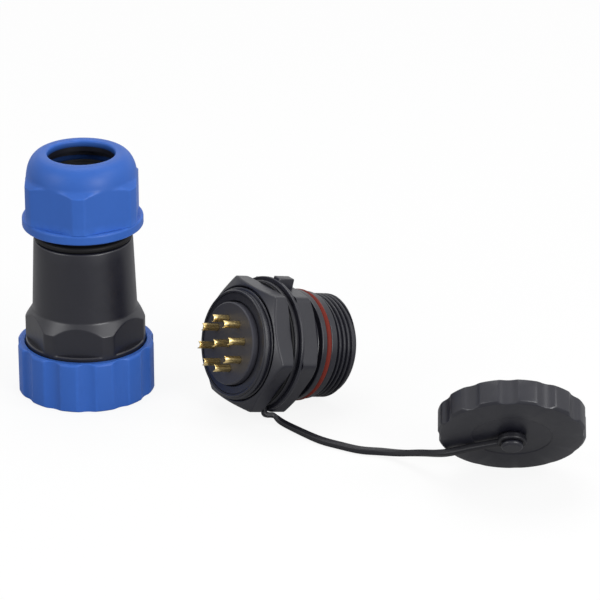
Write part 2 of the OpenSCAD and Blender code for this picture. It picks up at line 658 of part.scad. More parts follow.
module cap_rivet() color(BLACK) at_cap() revolved([
    [0, head_z - head_h], [rivet_head_d / 2 - 0.6, head_z - head_h], [rivet_head_d / 2, head_z - head_h + 0.6],
    [rivet_head_d / 2, head_z], [rivet_r, head_z], [rivet_r, cap_boss_z + seat_clearance],
    [rivet_r + 1, cap_boss_z + seat_clearance], [rivet_r + 0.6, cap_boss_z + 0.7], [0, cap_boss_z + 0.7]]);

coupling_ring();
plug_shell();
plug_insert();
plug_retainer();
face_gasket();
joint_gasket();
back_shell();
gland_o_ring();
cable_seal();
thrust_washer();
gland_nut();
for (i = [1 : contacts])
    socket_contact(i);
receptacle_shell();
receptacle_insert();
receptacle_retainer();
insert_gasket();
coupling_o_ring();
panel_washer();
panel_nut();
for (i = [1 : contacts])
    pin_contact(i);
cap_tether();
cap_shell();
cap_gasket();
cap_rivet();
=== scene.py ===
"""Dresses a sealed circular connector: a cable plug, a panel receptacle and its tethered dust cap.

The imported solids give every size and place. The pieces that show are built again here, with rounded edges, threads
and moulded finishes, and the camera and the light of the photograph are set up round them. Sizes are millimetres
in the frame of the sub-assembly that they belong to, and a seat turns them into metres in the shared frame.
"""
import json
import logging
import math
from dataclasses import dataclass, field
from enum import Enum
from typing import Any, Optional, Sequence, Union

import bmesh
import bpy
import numpy as np
from mathutils import Matrix, Vector


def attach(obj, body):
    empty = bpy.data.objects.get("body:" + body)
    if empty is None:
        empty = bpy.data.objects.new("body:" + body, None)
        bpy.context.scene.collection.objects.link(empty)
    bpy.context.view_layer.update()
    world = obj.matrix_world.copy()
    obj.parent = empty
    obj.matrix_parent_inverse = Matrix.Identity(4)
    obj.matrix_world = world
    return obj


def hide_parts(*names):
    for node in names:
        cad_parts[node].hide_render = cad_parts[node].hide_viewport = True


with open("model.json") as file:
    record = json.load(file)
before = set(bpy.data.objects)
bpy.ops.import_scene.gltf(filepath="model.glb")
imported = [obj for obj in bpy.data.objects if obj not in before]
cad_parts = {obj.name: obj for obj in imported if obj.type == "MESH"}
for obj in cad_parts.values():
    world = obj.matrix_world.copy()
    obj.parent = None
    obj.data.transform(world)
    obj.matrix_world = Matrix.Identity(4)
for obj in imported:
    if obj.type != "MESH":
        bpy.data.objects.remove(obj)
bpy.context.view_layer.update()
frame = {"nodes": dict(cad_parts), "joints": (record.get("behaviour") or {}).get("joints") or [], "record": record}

log = logging.getLogger("connector")

# Metres in a millimetre
MM = 0.001
# Points round the axis of a turned piece
COLUMNS = 288
# Distance of the points that hold the surface flat beside a rounded edge
HOLD = 0.18
# Usual roundings of small edges
FINE, CRISP, PLAIN, SOFT, BROAD = 0.1, 0.12, 0.15, 0.2, 0.25
# Share of a side that the rounding at one of its ends may take
ROOM = 0.48
# Rise of every thread in one turn
PITCH = 1.5
# Sides of a wrench hexagon
SIDES = 6
# Edges steeper than this angle in degrees stay sharp
SHARP = 38.0
# Bend in degrees at which an outer edge starts to get scuffs and a painted highlight, and the further bend to their
# full strength
WEAR_AND_SHEEN_FROM, WEAR_AND_SHEEN_SPAN = 6.0, 24.0
# Layers of a mesh that the finishes read: outer edges lightened by scuffs and a painted highlight, and painted shade
# deep inside openings
WEAR_AND_SHEEN, PAINTED_SHADE = "edge_wear_and_sheen", "recess"
WHITE = (1.0, 1.0, 1.0, 1.0)

Triple = tuple[float, float, float]
Number = Union[float, "Value"]


class Value:
    """A node socket that takes part in Python arithmetic: each operator adds a Math node to the graph."""

    def __init__(self, graph: "Graph", socket: bpy.types.NodeSocket) -> None:
        """Keeps the socket and the graph that it belongs to."""
        self.graph = graph
        self.socket = socket

    def _math(self, operation: str, *terms: Number) -> "Value":
        """Adds a Math node.

        Args:
            operation: the node's operation.
            terms: its inputs in order, sockets or numbers.

        Returns:
            The node's result.
        """
        return self.graph.value(self.graph.node("ShaderNodeMath", {"operation": operation}, dict(enumerate(terms))))

    def __add__(self, other: Number) -> "Value":
        """Returns self + other."""
        return self._math("ADD", self, other)

    def __radd__(self, other: Number) -> "Value":
        """Returns other + self."""
        return self._math("ADD", other, self)

    def __sub__(self, other: Number) -> "Value":
        """Returns self - other."""
        return self._math("SUBTRACT", self, other)

    def __rsub__(self, other: Number) -> "Value":
        """Returns other - self."""
        return self._math("SUBTRACT", other, self)

    def __mul__(self, other: Number) -> "Value":
        """Returns self * other."""
        return self._math("MULTIPLY", self, other)

    def __rmul__(self, other: Number) -> "Value":
        """Returns other * self."""
        return self._math("MULTIPLY", other, self)

    def lowest(self, other: Number) -> "Value":
        """Returns the smaller of the two."""
        return self._math("MINIMUM", self, other)

    def highest(self, other: Number) -> "Value":
        """Returns the larger of the two."""
        return self._math("MAXIMUM", self, other)


class Graph:
    """A node tree that is filled by code."""

    def __init__(self, tree: bpy.types.NodeTree) -> None:
        """Empties the tree and keeps it."""
        self.tree = tree
        tree.nodes.clear()

    def node(self, kind: str, settings: Optional[dict[str, Any]] = None,
             inputs: Optional[dict[Any, Any]] = None) -> bpy.types.Node:
        """Adds a node.

        Args:
            kind: the node's type name.
            settings: its own settings, which are set first.
            inputs: a value or a link for each named or numbered input socket.

        Returns:
            The node.
        """
        made = self.tree.nodes.new(kind)
        for name, setting in (settings or {}).items():
            setattr(made, name, setting)
        for key, given in (inputs or {}).items():
            if isinstance(given, (Value, bpy.types.NodeSocket)):
                self.tree.links.new(given.socket if isinstance(given, Value) else given, made.inputs[key])
            else:
                made.inputs[key].default_value = given
        return made

    def value(self, node: bpy.types.Node, output: Union[int, str] = 0) -> Value:
        """Returns an output of a node for use in expressions."""
        return Value(self, node.outputs[output])

    def mix(self, factor: Number, first: Any, second: Any) -> bpy.types.NodeSocket:
        """Mixes two colours.

        Args:
            factor: 0 gives the first and 1 the second.
            first: a colour with alpha, or a socket.
            second: a colour with alpha, or a socket.

        Returns:
            The mixed colour's socket.
        """
        return self.node("ShaderNodeMix", {"data_type": "RGBA"}, {0: factor, 6: first, 7: second}).outputs[2]


@dataclass(frozen=True)
class Finish:
    """A surface finish that belongs to a material slot of the record.

    The sizes of its patterns are millimetres, and its tones are factors on its colour.
    """

    slot: str
    colour: Triple
    roughness: float

    def material(self) -> bpy.types.Material:
        """Gives the finish's material.

        Returns:
            The material, made on first use.
        """
        found = bpy.data.materials.get("finish_" + self.slot)
        if found is None:
            found = bpy.data.materials.new("finish_" + self.slot)
            found.use_nodes = True
            found.diffuse_color = (*self.colour, 1.0)
            graph = Graph(found.node_tree)
            shader = self.shade(graph)
            graph.node("ShaderNodeOutputMaterial", None, {"Surface": shader.outputs[0]})
        return found

    def shade(self, graph: Graph) -> bpy.types.Node:
        """Fills the material.

        Args:
            graph: the material's nodes.

        Returns:
            The shader node of the finish.
        """
        raise NotImplementedError

    def tint(self, factor: float) -> tuple[float, float, float, float]:
        """Returns the finish's colour times a factor, with alpha."""
        red, green, blue = (min(1.0, channel * factor) for channel in self.colour)
        return (red, green, blue, 1.0)

    @staticmethod
    def noise(graph: Graph, size: float, detail: float) -> Value:
        """Adds a noise that is fixed to the piece.

        Args:
            graph: the material's nodes.
            size: size of its features in millimetres.
            detail: number of finer octaves.

        Returns:
            The noise, from 0 to 1.
        """
        place = graph.node("ShaderNodeTexCoord").outputs["Object"]
        return graph.value(graph.node("ShaderNodeTexNoise", None,
                                      {"Vector": place, "Scale": 1.0 / (size * MM), "Detail": detail}))

    @staticmethod
    def painted(graph: Graph, layer: str) -> Value:
        """Returns a mesh layer: scuffs plus painted highlight on outer edges, painted shade deep inside, 0 elsewhere.
        """
        return graph.value(graph.node("ShaderNodeAttribute", {"attribute_name": layer}), "Fac")


@dataclass(frozen=True)
class Moulded(Finish):
    """Injection-moulded plastic: satin, finely grained skin, faint flow clouds, scuffs, painted highlight and shade.
    """

    grain: float = 0.35
    wave: float = 3.5
    patch: float = 2.2
    cloud: float = 11.0
    depth: float = 0.004
    mottle: float = 0.06
    gloss_spread: float = 0.12
    specular: float = 0.5
    bump: float = 0.6
    # Outer edges: share and strength of a lighter colour that is partly scuffs and partly a painted highlight, then
    # their added gloss
    edge_scuff_and_sheen: float = 0.5
    edge_sheen_tone: float = 1.6
    edge_polish: float = 0.08
    # Colour factor deep inside openings: painted shade
    painted_shade_tone: float = 0.35

    def shade(self, graph: Graph) -> bpy.types.Node:
        """Makes a clouded colour, uneven gloss, grained skin, scuffs with a painted edge highlight, and painted shade.

        Args:
            graph: the material's nodes.

        Returns:
            The shader node.
        """
        cloud = self.noise(graph, self.cloud, 3.0)
        patch = self.noise(graph, self.patch, 4.0)
        skin = self.noise(graph, self.grain, 3.0) * 0.75 + self.noise(graph, self.wave, 2.0) * 0.25
        # Outer edges get a lighter colour in random patches: partly scuffs, partly a painted highlight
        wear_and_sheen = self.painted(graph, WEAR_AND_SHEEN) * (patch * 1.6 - 0.3).highest(0.0).lowest(1.0)
        clouded = graph.mix(cloud * 0.7 + patch * 0.3, self.tint(1.0 - self.mottle), self.tint(1.0 + self.mottle))
        scuffed_and_sheened = graph.mix(wear_and_sheen * self.edge_scuff_and_sheen, clouded, self.tint(self.edge_sheen_tone))
        # Painted shade: the colour is darkened deep inside openings
        colour = graph.mix(self.painted(graph, PAINTED_SHADE), scuffed_and_sheened, self.tint(self.painted_shade_tone))
        gloss = self.roughness + (patch - 0.5) * self.gloss_spread - wear_and_sheen * self.edge_polish
        bump = graph.node("ShaderNodeBump", None,
                          {"Strength": self.bump, "Distance": self.depth * MM, "Height": skin})
        return graph.node("ShaderNodeBsdfPrincipled", None, {
            "Base Color": colour, "Roughness": gloss, "Normal": bump.outputs[0], "Specular IOR Level": self.specular})


@dataclass(frozen=True)
class Rubber(Finish):
    """Matt moulded rubber with a finely pitted, dusty skin."""

    pit: float = 0.22
    depth: float = 0.006
    bump: float = 0.7
    haze: float = 6.0
    dust: float = 0.5
    dust_from: float = 0.45
    dust_tone: float = 1.9
    base_tone: float = 0.92
    gloss_spread: float = 0.1
    specular: float = 0.2

    def shade(self, graph: Graph) -> bpy.types.Node:
        """Makes a dusty colour and a pitted, dull skin.

        Args:
            graph: the material's nodes.

        Returns:
            The shader node.
        """
        haze = self.noise(graph, self.haze, 4.0)
        pits = self.noise(graph, self.pit, 2.0)
        dusty = (haze - self.dust_from).highest(0.0) * self.dust
        colour = graph.mix(dusty, self.tint(self.base_tone), self.tint(self.dust_tone))
        bump = graph.node("ShaderNodeBump", None,
                          {"Strength": self.bump, "Distance": self.depth * MM, "Height": pits})
        return graph.node("ShaderNodeBsdfPrincipled", None, {
            "Base Color": colour, "Roughness": self.roughness + (pits - 0.5) * self.gloss_spread,
            "Normal": bump.outputs[0], "Specular IOR Level": self.specular})


@dataclass(frozen=True)
class Plated(Finish):
    """Turned and plated metal: fine marks, with dull patches and painted shade deep inside."""

    mark: float = 0.45
    depth: float = 0.001
    bump: float = 0.25
    patch: float = 1.6
    tarnish: float = 0.35
    tarnish_from: float = 0.4
    tarnish_tone: float = 0.55
    # Colour deep inside a cup: painted shade; the next one makes the surface duller there
    painted_shade_tone: float = 0.08
    deep_dull: float = 0.3

    def shade(self, graph: Graph) -> bpy.types.Node:
        """Makes an uneven plating with fine marks, darkened deep inside by painted shade.

        Args:
            graph: the material's nodes.

        Returns:
            The shader node.
        """
        patch = self.noise(graph, self.patch, 2.0)
        marks = self.noise(graph, self.mark, 2.0)
        # Painted shade: the plating is darkened and dulled deep inside
        recess = self.painted(graph, PAINTED_SHADE)
        dull = (patch - self.tarnish_from).highest(0.0) * self.tarnish
        plating = graph.mix(dull * 2.0, self.tint(1.0), self.tint(self.tarnish_tone))
        colour = graph.mix(recess, plating, self.tint(self.painted_shade_tone))
        gloss = self.roughness + dull * 0.5 + recess * self.deep_dull
        bump = graph.node("ShaderNodeBump", None,
                          {"Strength": self.bump, "Distance": self.depth * MM, "Height": marks})
        return graph.node("ShaderNodeBsdfPrincipled", None, {
            "Base Color": colour, "Metallic": 1.0, "Roughness": gloss, "Normal": bump.outputs[0]})


class Surface(Enum):
    """The finishes of the connector, one for each material slot."""

    BLUE = Moulded("blue_plastic", (0.034, 0.117, 0.445), 0.44, specular=0.22)
    BLACK = Moulded("black_plastic", (0.0080, 0.0082, 0.0140), 0.37, specular=0.5)
    INSERT = Moulded("insert_plastic", (0.027, 0.027, 0.036), 0.48, grain=0.5, specular=0.4)
    STRAP = Moulded("strap_plastic", (0.0068, 0.0068, 0.0100), 0.46, grain=0.5, depth=0.006, specular=0.35)
    RUBBER = Rubber("black_rubber", (0.0045, 0.0045, 0.0055), 0.55)
    RED = Rubber("red_rubber", (0.170, 0.028, 0.020), 0.50, dust=0.2, specular=0.05)
    GOLD = Plated("gold", (0.94, 0.72, 0.32), 0.21, tarnish=0.2)
    STEEL = Plated("steel", (0.58, 0.58, 0.60), 0.34)


class Seat(Enum):
    """The frames in which the sizes of the sub-assemblies are given."""

    PLUG = "plug"
    RECEPTACLE = "receptacle"
    CAP = "cap"

    def matrix(self) -> Matrix:
        """Works out the turn and place of the frame, from a mount or a joint of the record.

        Returns:
            The matrix from the frame's millimetres to metres of the shared frame.
        """
        if self is Seat.PLUG:
            return Matrix.Diagonal((MM, MM, MM, 1.0))
        if self is Seat.RECEPTACLE:
            mount = next(m for m in frame["record"]["mounts"] if m["name"] == "coupling_thread")
            axis = Vector(mount["axis"]).normalized()
            ahead = Vector((axis.x, axis.y, 0.0)).normalized()
            slope = math.asin(-axis.z)
            across = -math.sin(slope) * ahead - math.cos(slope) * Vector((0.0, 0.0, 1.0))
            origin = Vector(mount["pos_m"]) - axis * (ReceptacleSizes().thread_mid * MM)
        else:
            joint = next(j for j in frame["joints"] if j["name"] == "cap_turn")
            axis = Vector(joint["axis"]).normalized()
            across = Vector((axis.y, -axis.x, 0.0)).normalized()
            origin = Vector(joint["pos_m"])
        turn = Matrix((across, axis.cross(across), axis)).transposed().to_4x4()
        return Matrix.Translation(origin) @ turn @ Matrix.Diagonal((MM, MM, MM, 1.0))

    def point(self, place: Sequence[float]) -> np.ndarray:
        """Returns a point of this frame in millimetres of the shared frame."""
        return np.array(self.matrix() @ Vector(place)) / MM


def soft_min(a: np.ndarray, b: np.ndarray, blend: float) -> np.ndarray:
    """Returns the smaller of two radii, with their meeting edge rounded over a blend width."""
    overlap = np.maximum(blend - np.abs(a - b), 0.0) / blend
    return np.minimum(a, b) - overlap * overlap * blend / 4.0


def soft_max(a: np.ndarray, b: np.ndarray, blend: float) -> np.ndarray:
    """Returns the larger of two radii, with their meeting edge filled over a blend width."""
    return -soft_min(-a, -b, blend)


class Form:
    """A rule that changes the round section of a turned piece."""

    def shape(self, turn: np.ndarray, r: np.ndarray, z: np.ndarray) -> tuple[np.ndarray, np.ndarray]:
        """Changes rows of points that go round the axis.

        Args:
            turn: the turn of each column in radians.
            r: the points' radii, in rows.
            z: the points' heights, in rows.

        Returns:
            The new radii and heights.
        """
        raise NotImplementedError

    @staticmethod
    def off(turn: np.ndarray, count: int, clock: float) -> np.ndarray:
        """Returns the angle to the nearest of evenly spaced directions, in radians."""
        step = 2.0 * math.pi / count
        return (turn - math.radians(clock) + step / 2.0) % step - step / 2.0


@dataclass(frozen=True)
class Flats(Form):
    """Six wrench flats, whose edges are rounded; a reach keeps them from cutting deeper than that."""

    across: float
    clock: float = 0.0
    edge: float = 0.35
    reach: float = 100.0

    def shape(self, turn: np.ndarray, r: np.ndarray, z: np.ndarray) -> tuple[np.ndarray, np.ndarray]:
        """Returns the radii cut back to the flats, and the heights as they were."""
        flat = self.across / 2.0 / np.cos(self.off(turn, SIDES, self.clock))
        return np.maximum(soft_min(r, flat, self.edge), r - self.reach), z


@dataclass(frozen=True)
class Flutes(Form):
    """Round grip flutes cut along the axis."""

    radius: float
    clock: float
    count: int = 12
    angle: float = 15.0
    depth: float = 0.85
    edge: float = 0.3

    def shape(self, turn: np.ndarray, r: np.ndarray, z: np.ndarray) -> tuple[np.ndarray, np.ndarray]:
        """Cuts the flutes.

        Args:
            turn: the turn of each column in radians.
            r: the points' radii, in rows.
            z: the points' heights, in rows.

        Returns:
            The radii cut back to the flutes, and the heights as they were.
        """
        half = math.radians(self.angle / 2.0)
        sag = self.depth - self.radius * (1.0 - math.cos(half))
        cutter = (2.0 * self.radius * math.sin(half)) ** 2 / (8.0 * sag) + sag / 2.0
        middle = self.radius - self.depth + cutter
        off = self.off(turn, self.count, self.clock)
        inside = cutter ** 2 - (middle * np.sin(off)) ** 2
        floor = np.where(inside > 0.0, middle * np.cos(off) - np.sqrt(np.maximum(inside, 0.0)), 2.0 * self.radius)
        return soft_min(r, floor, self.edge), z


@dataclass(frozen=True)
class CornerPads(Form):
    """A hexagon laid over a round body: its corners stand proud and end in slanting tops."""

    across: float
    corner: float
    top: float
    edge: float = 0.14
    foot: float = 0.12

    def shape(self, turn: np.ndarray, r: np.ndarray, z: np.ndarray) -> tuple[np.ndarray, np.ndarray]:
        """Raises the corners.

        Args:
            turn: the turn of each column in radians.
            r: the points' radii, in rows.
            z: the points' heights, in rows.

        Returns:
            The radii raised to the hexagon's corners below their tops, and the heights as they were.
        """
        flat = self.across / 2.0 / np.cos(self.off(turn, SIDES, 0.0))
        roof = self.corner - np.maximum(z - self.top, 0.0)
        return soft_max(r, soft_min(flat, roof, self.edge), self.foot), z


@dataclass(frozen=True)
class OpenSide(Form):
    """The half of a solder cup's wall that is cut away."""

    height: float

    def shape(self, turn: np.ndarray, r: np.ndarray, z: np.ndarray) -> tuple[np.ndarray, np.ndarray]:
        """Returns the radii as they were, and the heights raised to the cut on the open half."""
        return r, np.where(np.cos(turn) > 0.0, np.maximum(z, self.height), z)


@dataclass(frozen=True)
class Corner:
    """A corner of a turned piece's section: radius, height, edge rounding, form and steps on the way to it."""

    r: float
    z: float
    edge: float = 0.0
    form: Optional[Form] = None
    steps: int = 1


@dataclass
class Section:
    """The section of a turned piece, from its corners to a fine line of points."""

    corners: Sequence[Corner]
    closed: bool = True
    line: list[tuple[float, float, Optional[Form]]] = field(init=False, default_factory=list)

    def __post_init__(self) -> None:
        """Rounds the corners and adds holding points beside them."""
        corners = list(self.corners)
        count = len(corners)
        arcs = [self._rounded(corners[i - 1], corners[i], corners[(i + 1) % count],
                              self.closed or 0 < i < count - 1) for i in range(count)]
        for i, corner in enumerate(corners):
            if i or self.closed:
                self._run(arcs[i - 1][-1], arcs[i][0], corners[i - 1], corner)
            self.line.extend((r, z, corner.form) for r, z in arcs[i])

    @staticmethod
    def _rounded(before: Corner, corner: Corner, after: Corner, inner: bool) -> list[np.ndarray]:
        """Returns the arc that stands for a corner.

        Args:
            before: the corner before it.
            corner: the corner itself.
            after: the corner after it.
            inner: whether the corner has a neighbour on both sides.

        Returns:
            The arc's points, or the corner alone where it is sharp.
        """
        here = np.array((corner.r, corner.z))
        to_before, to_after = np.array((before.r, before.z)) - here, np.array((after.r, after.z)) - here
        reach_before, reach_after = np.linalg.norm(to_before), np.linalg.norm(to_after)
        if not inner or corner.edge <= 0.0 or min(reach_before, reach_after) < 1e-6:
            return [here]
        to_before, to_after = to_before / reach_before, to_after / reach_after
        half = math.acos(max(-1.0, min(1.0, float(-to_before @ to_after)))) / 2.0
        if half < 0.01:
            return [here]
        reach = min(corner.edge * math.tan(half), ROOM * reach_before, ROOM * reach_after)
        start, end, weight = here + to_before * reach, here + to_after * reach, math.cos(half)
        count = max(2, min(8, 2 + int(corner.edge * 4.0)))
        arc = []
        for i in range(count + 1):
            s = i / count
            a, b, c = (1 - s) ** 2, 2 * s * (1 - s) * weight, s * s
            arc.append((a * start + b * here + c * end) / (a + b + c))
        return arc

    def _run(self, start: np.ndarray, end: np.ndarray, before: Corner, after: Corner) -> None:
        """Adds the points between two corners.

        Args:
            start: where the run leaves the first corner.
            end: where it reaches the second.
            before: the first corner.
            after: the second corner, whose steps count.
        """
        length = float(np.linalg.norm(end - start))
        if length < 1e-6:
            return
        form = after.form if before.form is after.form else None
        if after.steps > 1:
            shares = [i / after.steps for i in range(1, after.steps)]
        elif length > 5.0 * HOLD and before.form is after.form:
            shares = [HOLD / length, 1.0 - HOLD / length]
        else:
            shares = []
        for share in shares:
            r, z = start + (end - start) * share
            self.line.append((float(r), float(z), form))

    def mesh(self, name: str, seat: Seat, columns: int = COLUMNS) -> bpy.types.Mesh:
        """Turns the section into a mesh.

        Args:
            name: the mesh's name.
            seat: the frame that the section is given in.
            columns: number of points round the axis.

        Returns:
            A closed mesh in metres of the shared frame.
        """
        turn = (np.arange(columns) * 2.0 * math.pi / columns)[None, :]
        r, z = (np.repeat([[point[axis]] for point in self.line], columns, axis=1) for axis in (0, 1))
        forms = [form for _, _, form in self.line]
        for form in dict.fromkeys(form for form in forms if form is not None):
            rows = [i for i, other in enumerate(forms) if other == form]
            r[rows], z[rows] = form.shape(turn, r[rows], z[rows])
        points = np.stack((r * np.cos(turn), r * np.sin(turn), z), axis=-1).reshape(-1, 3)
        stations = len(self.line)
        spans = np.arange(stations if self.closed else stations - 1)
        row, col = np.meshgrid(spans, np.arange(columns), indexing="ij")
        up, on = (row + 1) % stations, (col + 1) % columns
        faces = np.stack((row * columns + col, row * columns + on, up * columns + on, up * columns + col), axis=-1)
        mesh = bpy.data.meshes.new(name)
        mesh.from_pydata(points.tolist(), [], faces.reshape(-1, 4).tolist())
        return finished(mesh, seat.matrix())


def finished(mesh: bpy.types.Mesh, place: Matrix, merge: float = 1e-4, sharp: float = SHARP) -> bpy.types.Mesh:
    """Closes a mesh, turns its faces outwards and puts it in its place.

    Args:
        mesh: the mesh, changed in place.
        place: the matrix to the shared frame.
        merge: points nearer than this become one, in the mesh's own units.
        sharp: edges steeper than this angle stay sharp.

    Returns:
        The same mesh.
    """
    work = bmesh.new()
    work.from_mesh(mesh)
    bmesh.ops.remove_doubles(work, verts=work.verts, dist=merge)
    bmesh.ops.dissolve_degenerate(work, edges=work.edges, dist=merge)
    work.transform(place)
    bmesh.ops.recalc_face_normals(work, faces=work.faces)
    # Layer for outer edges: scuffs with a painted highlight, strongest where the edge bends most
    wear_and_sheen = work.verts.layers.float.new(WEAR_AND_SHEEN)
    for edge in work.edges:
        if edge.is_manifold:
            bend = math.degrees(edge.calc_face_angle_signed(0.0))
            for point in edge.verts:
                point[wear_and_sheen] = max(point[wear_and_sheen], min(1.0, max(0.0, bend - WEAR_AND_SHEEN_FROM) / WEAR_AND_SHEEN_SPAN))
    for face in work.faces:
        face.smooth = True
    work.to_mesh(mesh)
    work.free()
    mesh.set_sharp_from_angle(angle=math.radians(sharp))
    mesh.update()
    return mesh


def paint_recess_shade(mesh: bpy.types.Mesh, radius: float, mouth: float, full: float, facing: float = 0.1) -> None:
    """Writes how deep each point lies inside an opening along Z into the mesh's layer of painted shade.

    Args:
        mesh: the mesh, in millimetres or in metres like the sizes below.
        radius: points farther than this from the axis are outside.
        mouth: height at which the layer is 0.
        full: height from which on it is 1, above or below the mouth.
        facing: points whose normals lean away from the axis by more than this share are outside.
    """
    share = [min(1.0, max(0.0, (p.co.z - mouth) / (full - mouth)))
             if p.co.xy.length < radius and p.normal.xy.dot(p.co.xy) <= facing * p.co.xy.length else 0.0
             for p in mesh.vertices]
    mesh.attributes.new(PAINTED_SHADE, "FLOAT", "POINT").data.foreach_set("value", share)


def block(name: str, low: Sequence[float], high: Sequence[float], edge: float, seat: Seat) -> bpy.types.Mesh:
    """Makes a small block with rounded edges.

    Args:
        name: the mesh's name.
        low: its lowest corner in the seat's frame.
        high: its highest corner.
        edge: width of the rounded edges.
        seat: the frame of the corners.

    Returns:
        The mesh in the shared frame.
    """
    work = bmesh.new()
    bmesh.ops.create_cube(work, size=1.0)
    size = [b - a for a, b in zip(low, high)]
    middle = [(a + b) / 2.0 for a, b in zip(low, high)]
    work.transform(Matrix.Translation(middle) @ Matrix.Diagonal((*size, 1.0)))
    bmesh.ops.bevel(work, geom=list(work.edges), offset=edge, segments=3, profile=0.5, affect="EDGES")
    mesh = bpy.data.meshes.new(name)
    work.to_mesh(mesh)
    work.free()
    return finished(mesh, seat.matrix())


def joined(name: str, parts: Sequence[bpy.types.Mesh]) -> bpy.types.Mesh:
    """Puts several closed meshes into one.

    Args:
        name: the new mesh's name.
        parts: the meshes, which are then removed.

    Returns:
        The new mesh.
    """
    work = bmesh.new()
    for part in parts:
        work.from_mesh(part)
        bpy.data.meshes.remove(part)
    mesh = bpy.data.meshes.new(name)
    work.to_mesh(mesh)
    work.free()
    mesh.set_sharp_from_angle(angle=math.radians(SHARP))
    return mesh


def add_piece(name: str, mesh: bpy.types.Mesh, surface: Surface, body: str, *nodes: str) -> bpy.types.Object:
    """Puts a mesh into the scene as a piece of the connector.

    Args:
        name: the piece's name.
        mesh: its mesh, in metres of the shared frame.
        surface: its finish.
        body: the body that it moves with.
        nodes: the solids that it stands for.

    Returns:
        The piece.
    """
    mesh.materials.clear()
    mesh.materials.append(surface.value.material())
    piece = bpy.data.objects.new(name, mesh)
    bpy.context.scene.collection.objects.link(piece)
    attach(piece, body)
    if nodes:
        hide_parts(*nodes)
    log.info("%s: %d faces on %s", name, len(mesh.polygons), body)
    return piece


def add_turned(name: str, section: Section, seat: Seat, surface: Surface, body: str, node: str,
               columns: int = COLUMNS) -> bpy.types.Object:
    """Turns a section and puts it into the scene as a piece.

    Args:
        name: the piece's name.
        section: its section.
        seat: the frame that the section is given in.
        surface: its finish.
        body: the body that it moves with.
        node: the solid that it stands for.
        columns: number of points round the axis.

    Returns:
        The piece.
    """
    return add_piece(name, section.mesh(name, seat, columns), surface, body, node)


class GrowthTree:
    """A Geometry Nodes tree with named inputs, which is run once on a carrier and leaves a plain mesh."""

    def __init__(self, name: str, sizes: dict[str, float], counts: dict[str, int]) -> None:
        """Makes the tree with its inputs.

        Args:
            name: the tree's name.
            sizes: named lengths or numbers, with their defaults.
            counts: named whole numbers, with their defaults.
        """
        self.tree = bpy.data.node_groups.new(name, "GeometryNodeTree")
        self.tree.is_modifier = True
        self.keys: dict[str, str] = {}
        self._socket("Geometry", "NodeSocketGeometry", None)
        self.tree.interface.new_socket(name="Geometry", in_out="OUTPUT", socket_type="NodeSocketGeometry")
        for label, start in sizes.items():
            self._socket(label, "NodeSocketFloat", start)
        for label, start in counts.items():
            self._socket(label, "NodeSocketInt", start)
        self._socket("Material", "NodeSocketMaterial", None)
        self._socket("Source", "NodeSocketObject", None)
        self.graph = Graph(self.tree)
        self.inputs = self.graph.node("NodeGroupInput")

    def _socket(self, label: str, kind: str, start: Any) -> None:
        """Adds a named input.

        Args:
            label: the input's name.
            kind: its socket type.
            start: its default, or None for the type's own.
        """
        made = self.tree.interface.new_socket(name=label, in_out="INPUT", socket_type=kind)
        if start is not None:
            made.default_value = start
        self.keys[label] = made.identifier

    def given(self, label: str) -> Value:
        """Returns a named input for use in expressions."""
        return self.graph.value(self.inputs, label)

    def close(self, shape: bpy.types.NodeSocket) -> None:
        """Ends the tree: smooth, realized and with its material.

        Args:
            shape: the geometry that the tree has made.
        """
        smooth = self.graph.node("GeometryNodeSetShadeSmooth", None, {"Geometry": shape}).outputs[0]
        real = self.graph.node("GeometryNodeRealizeInstances", None, {"Geometry": smooth}).outputs[0]
        dressed = self.graph.node("GeometryNodeSetMaterial", None,
                                  {"Geometry": real, "Material": self.inputs.outputs["Material"]}).outputs[0]
        self.graph.node("NodeGroupOutput", None, {"Geometry": dressed})

    def grow(self, name: str, carrier: bpy.types.Mesh, surface: Surface, values: dict[str, Any]) -> bpy.types.Mesh:
        """Runs the tree on a carrier mesh.

        Args:
            name: the new mesh's name.
            carrier: the mesh that the tree reads.
            surface: the finish to set.
            values: the named inputs.

        Returns:
            The grown mesh, with no modifier left.
        """
        holder = bpy.data.objects.new(name + "_carrier", carrier)
        bpy.context.scene.collection.objects.link(holder)
        modifier = holder.modifiers.new("growth", "NODES")
        modifier.node_group = self.tree
        for label, value in {**values, "Material": surface.value.material()}.items():
            modifier[self.keys[label]] = value
        depsgraph = bpy.context.evaluated_depsgraph_get()
        mesh = bpy.data.meshes.new_from_object(holder.evaluated_get(depsgraph))
        mesh.name = name
        holder.modifiers.remove(modifier)
        bpy.data.objects.remove(holder)
        bpy.data.meshes.remove(carrier)
        return mesh


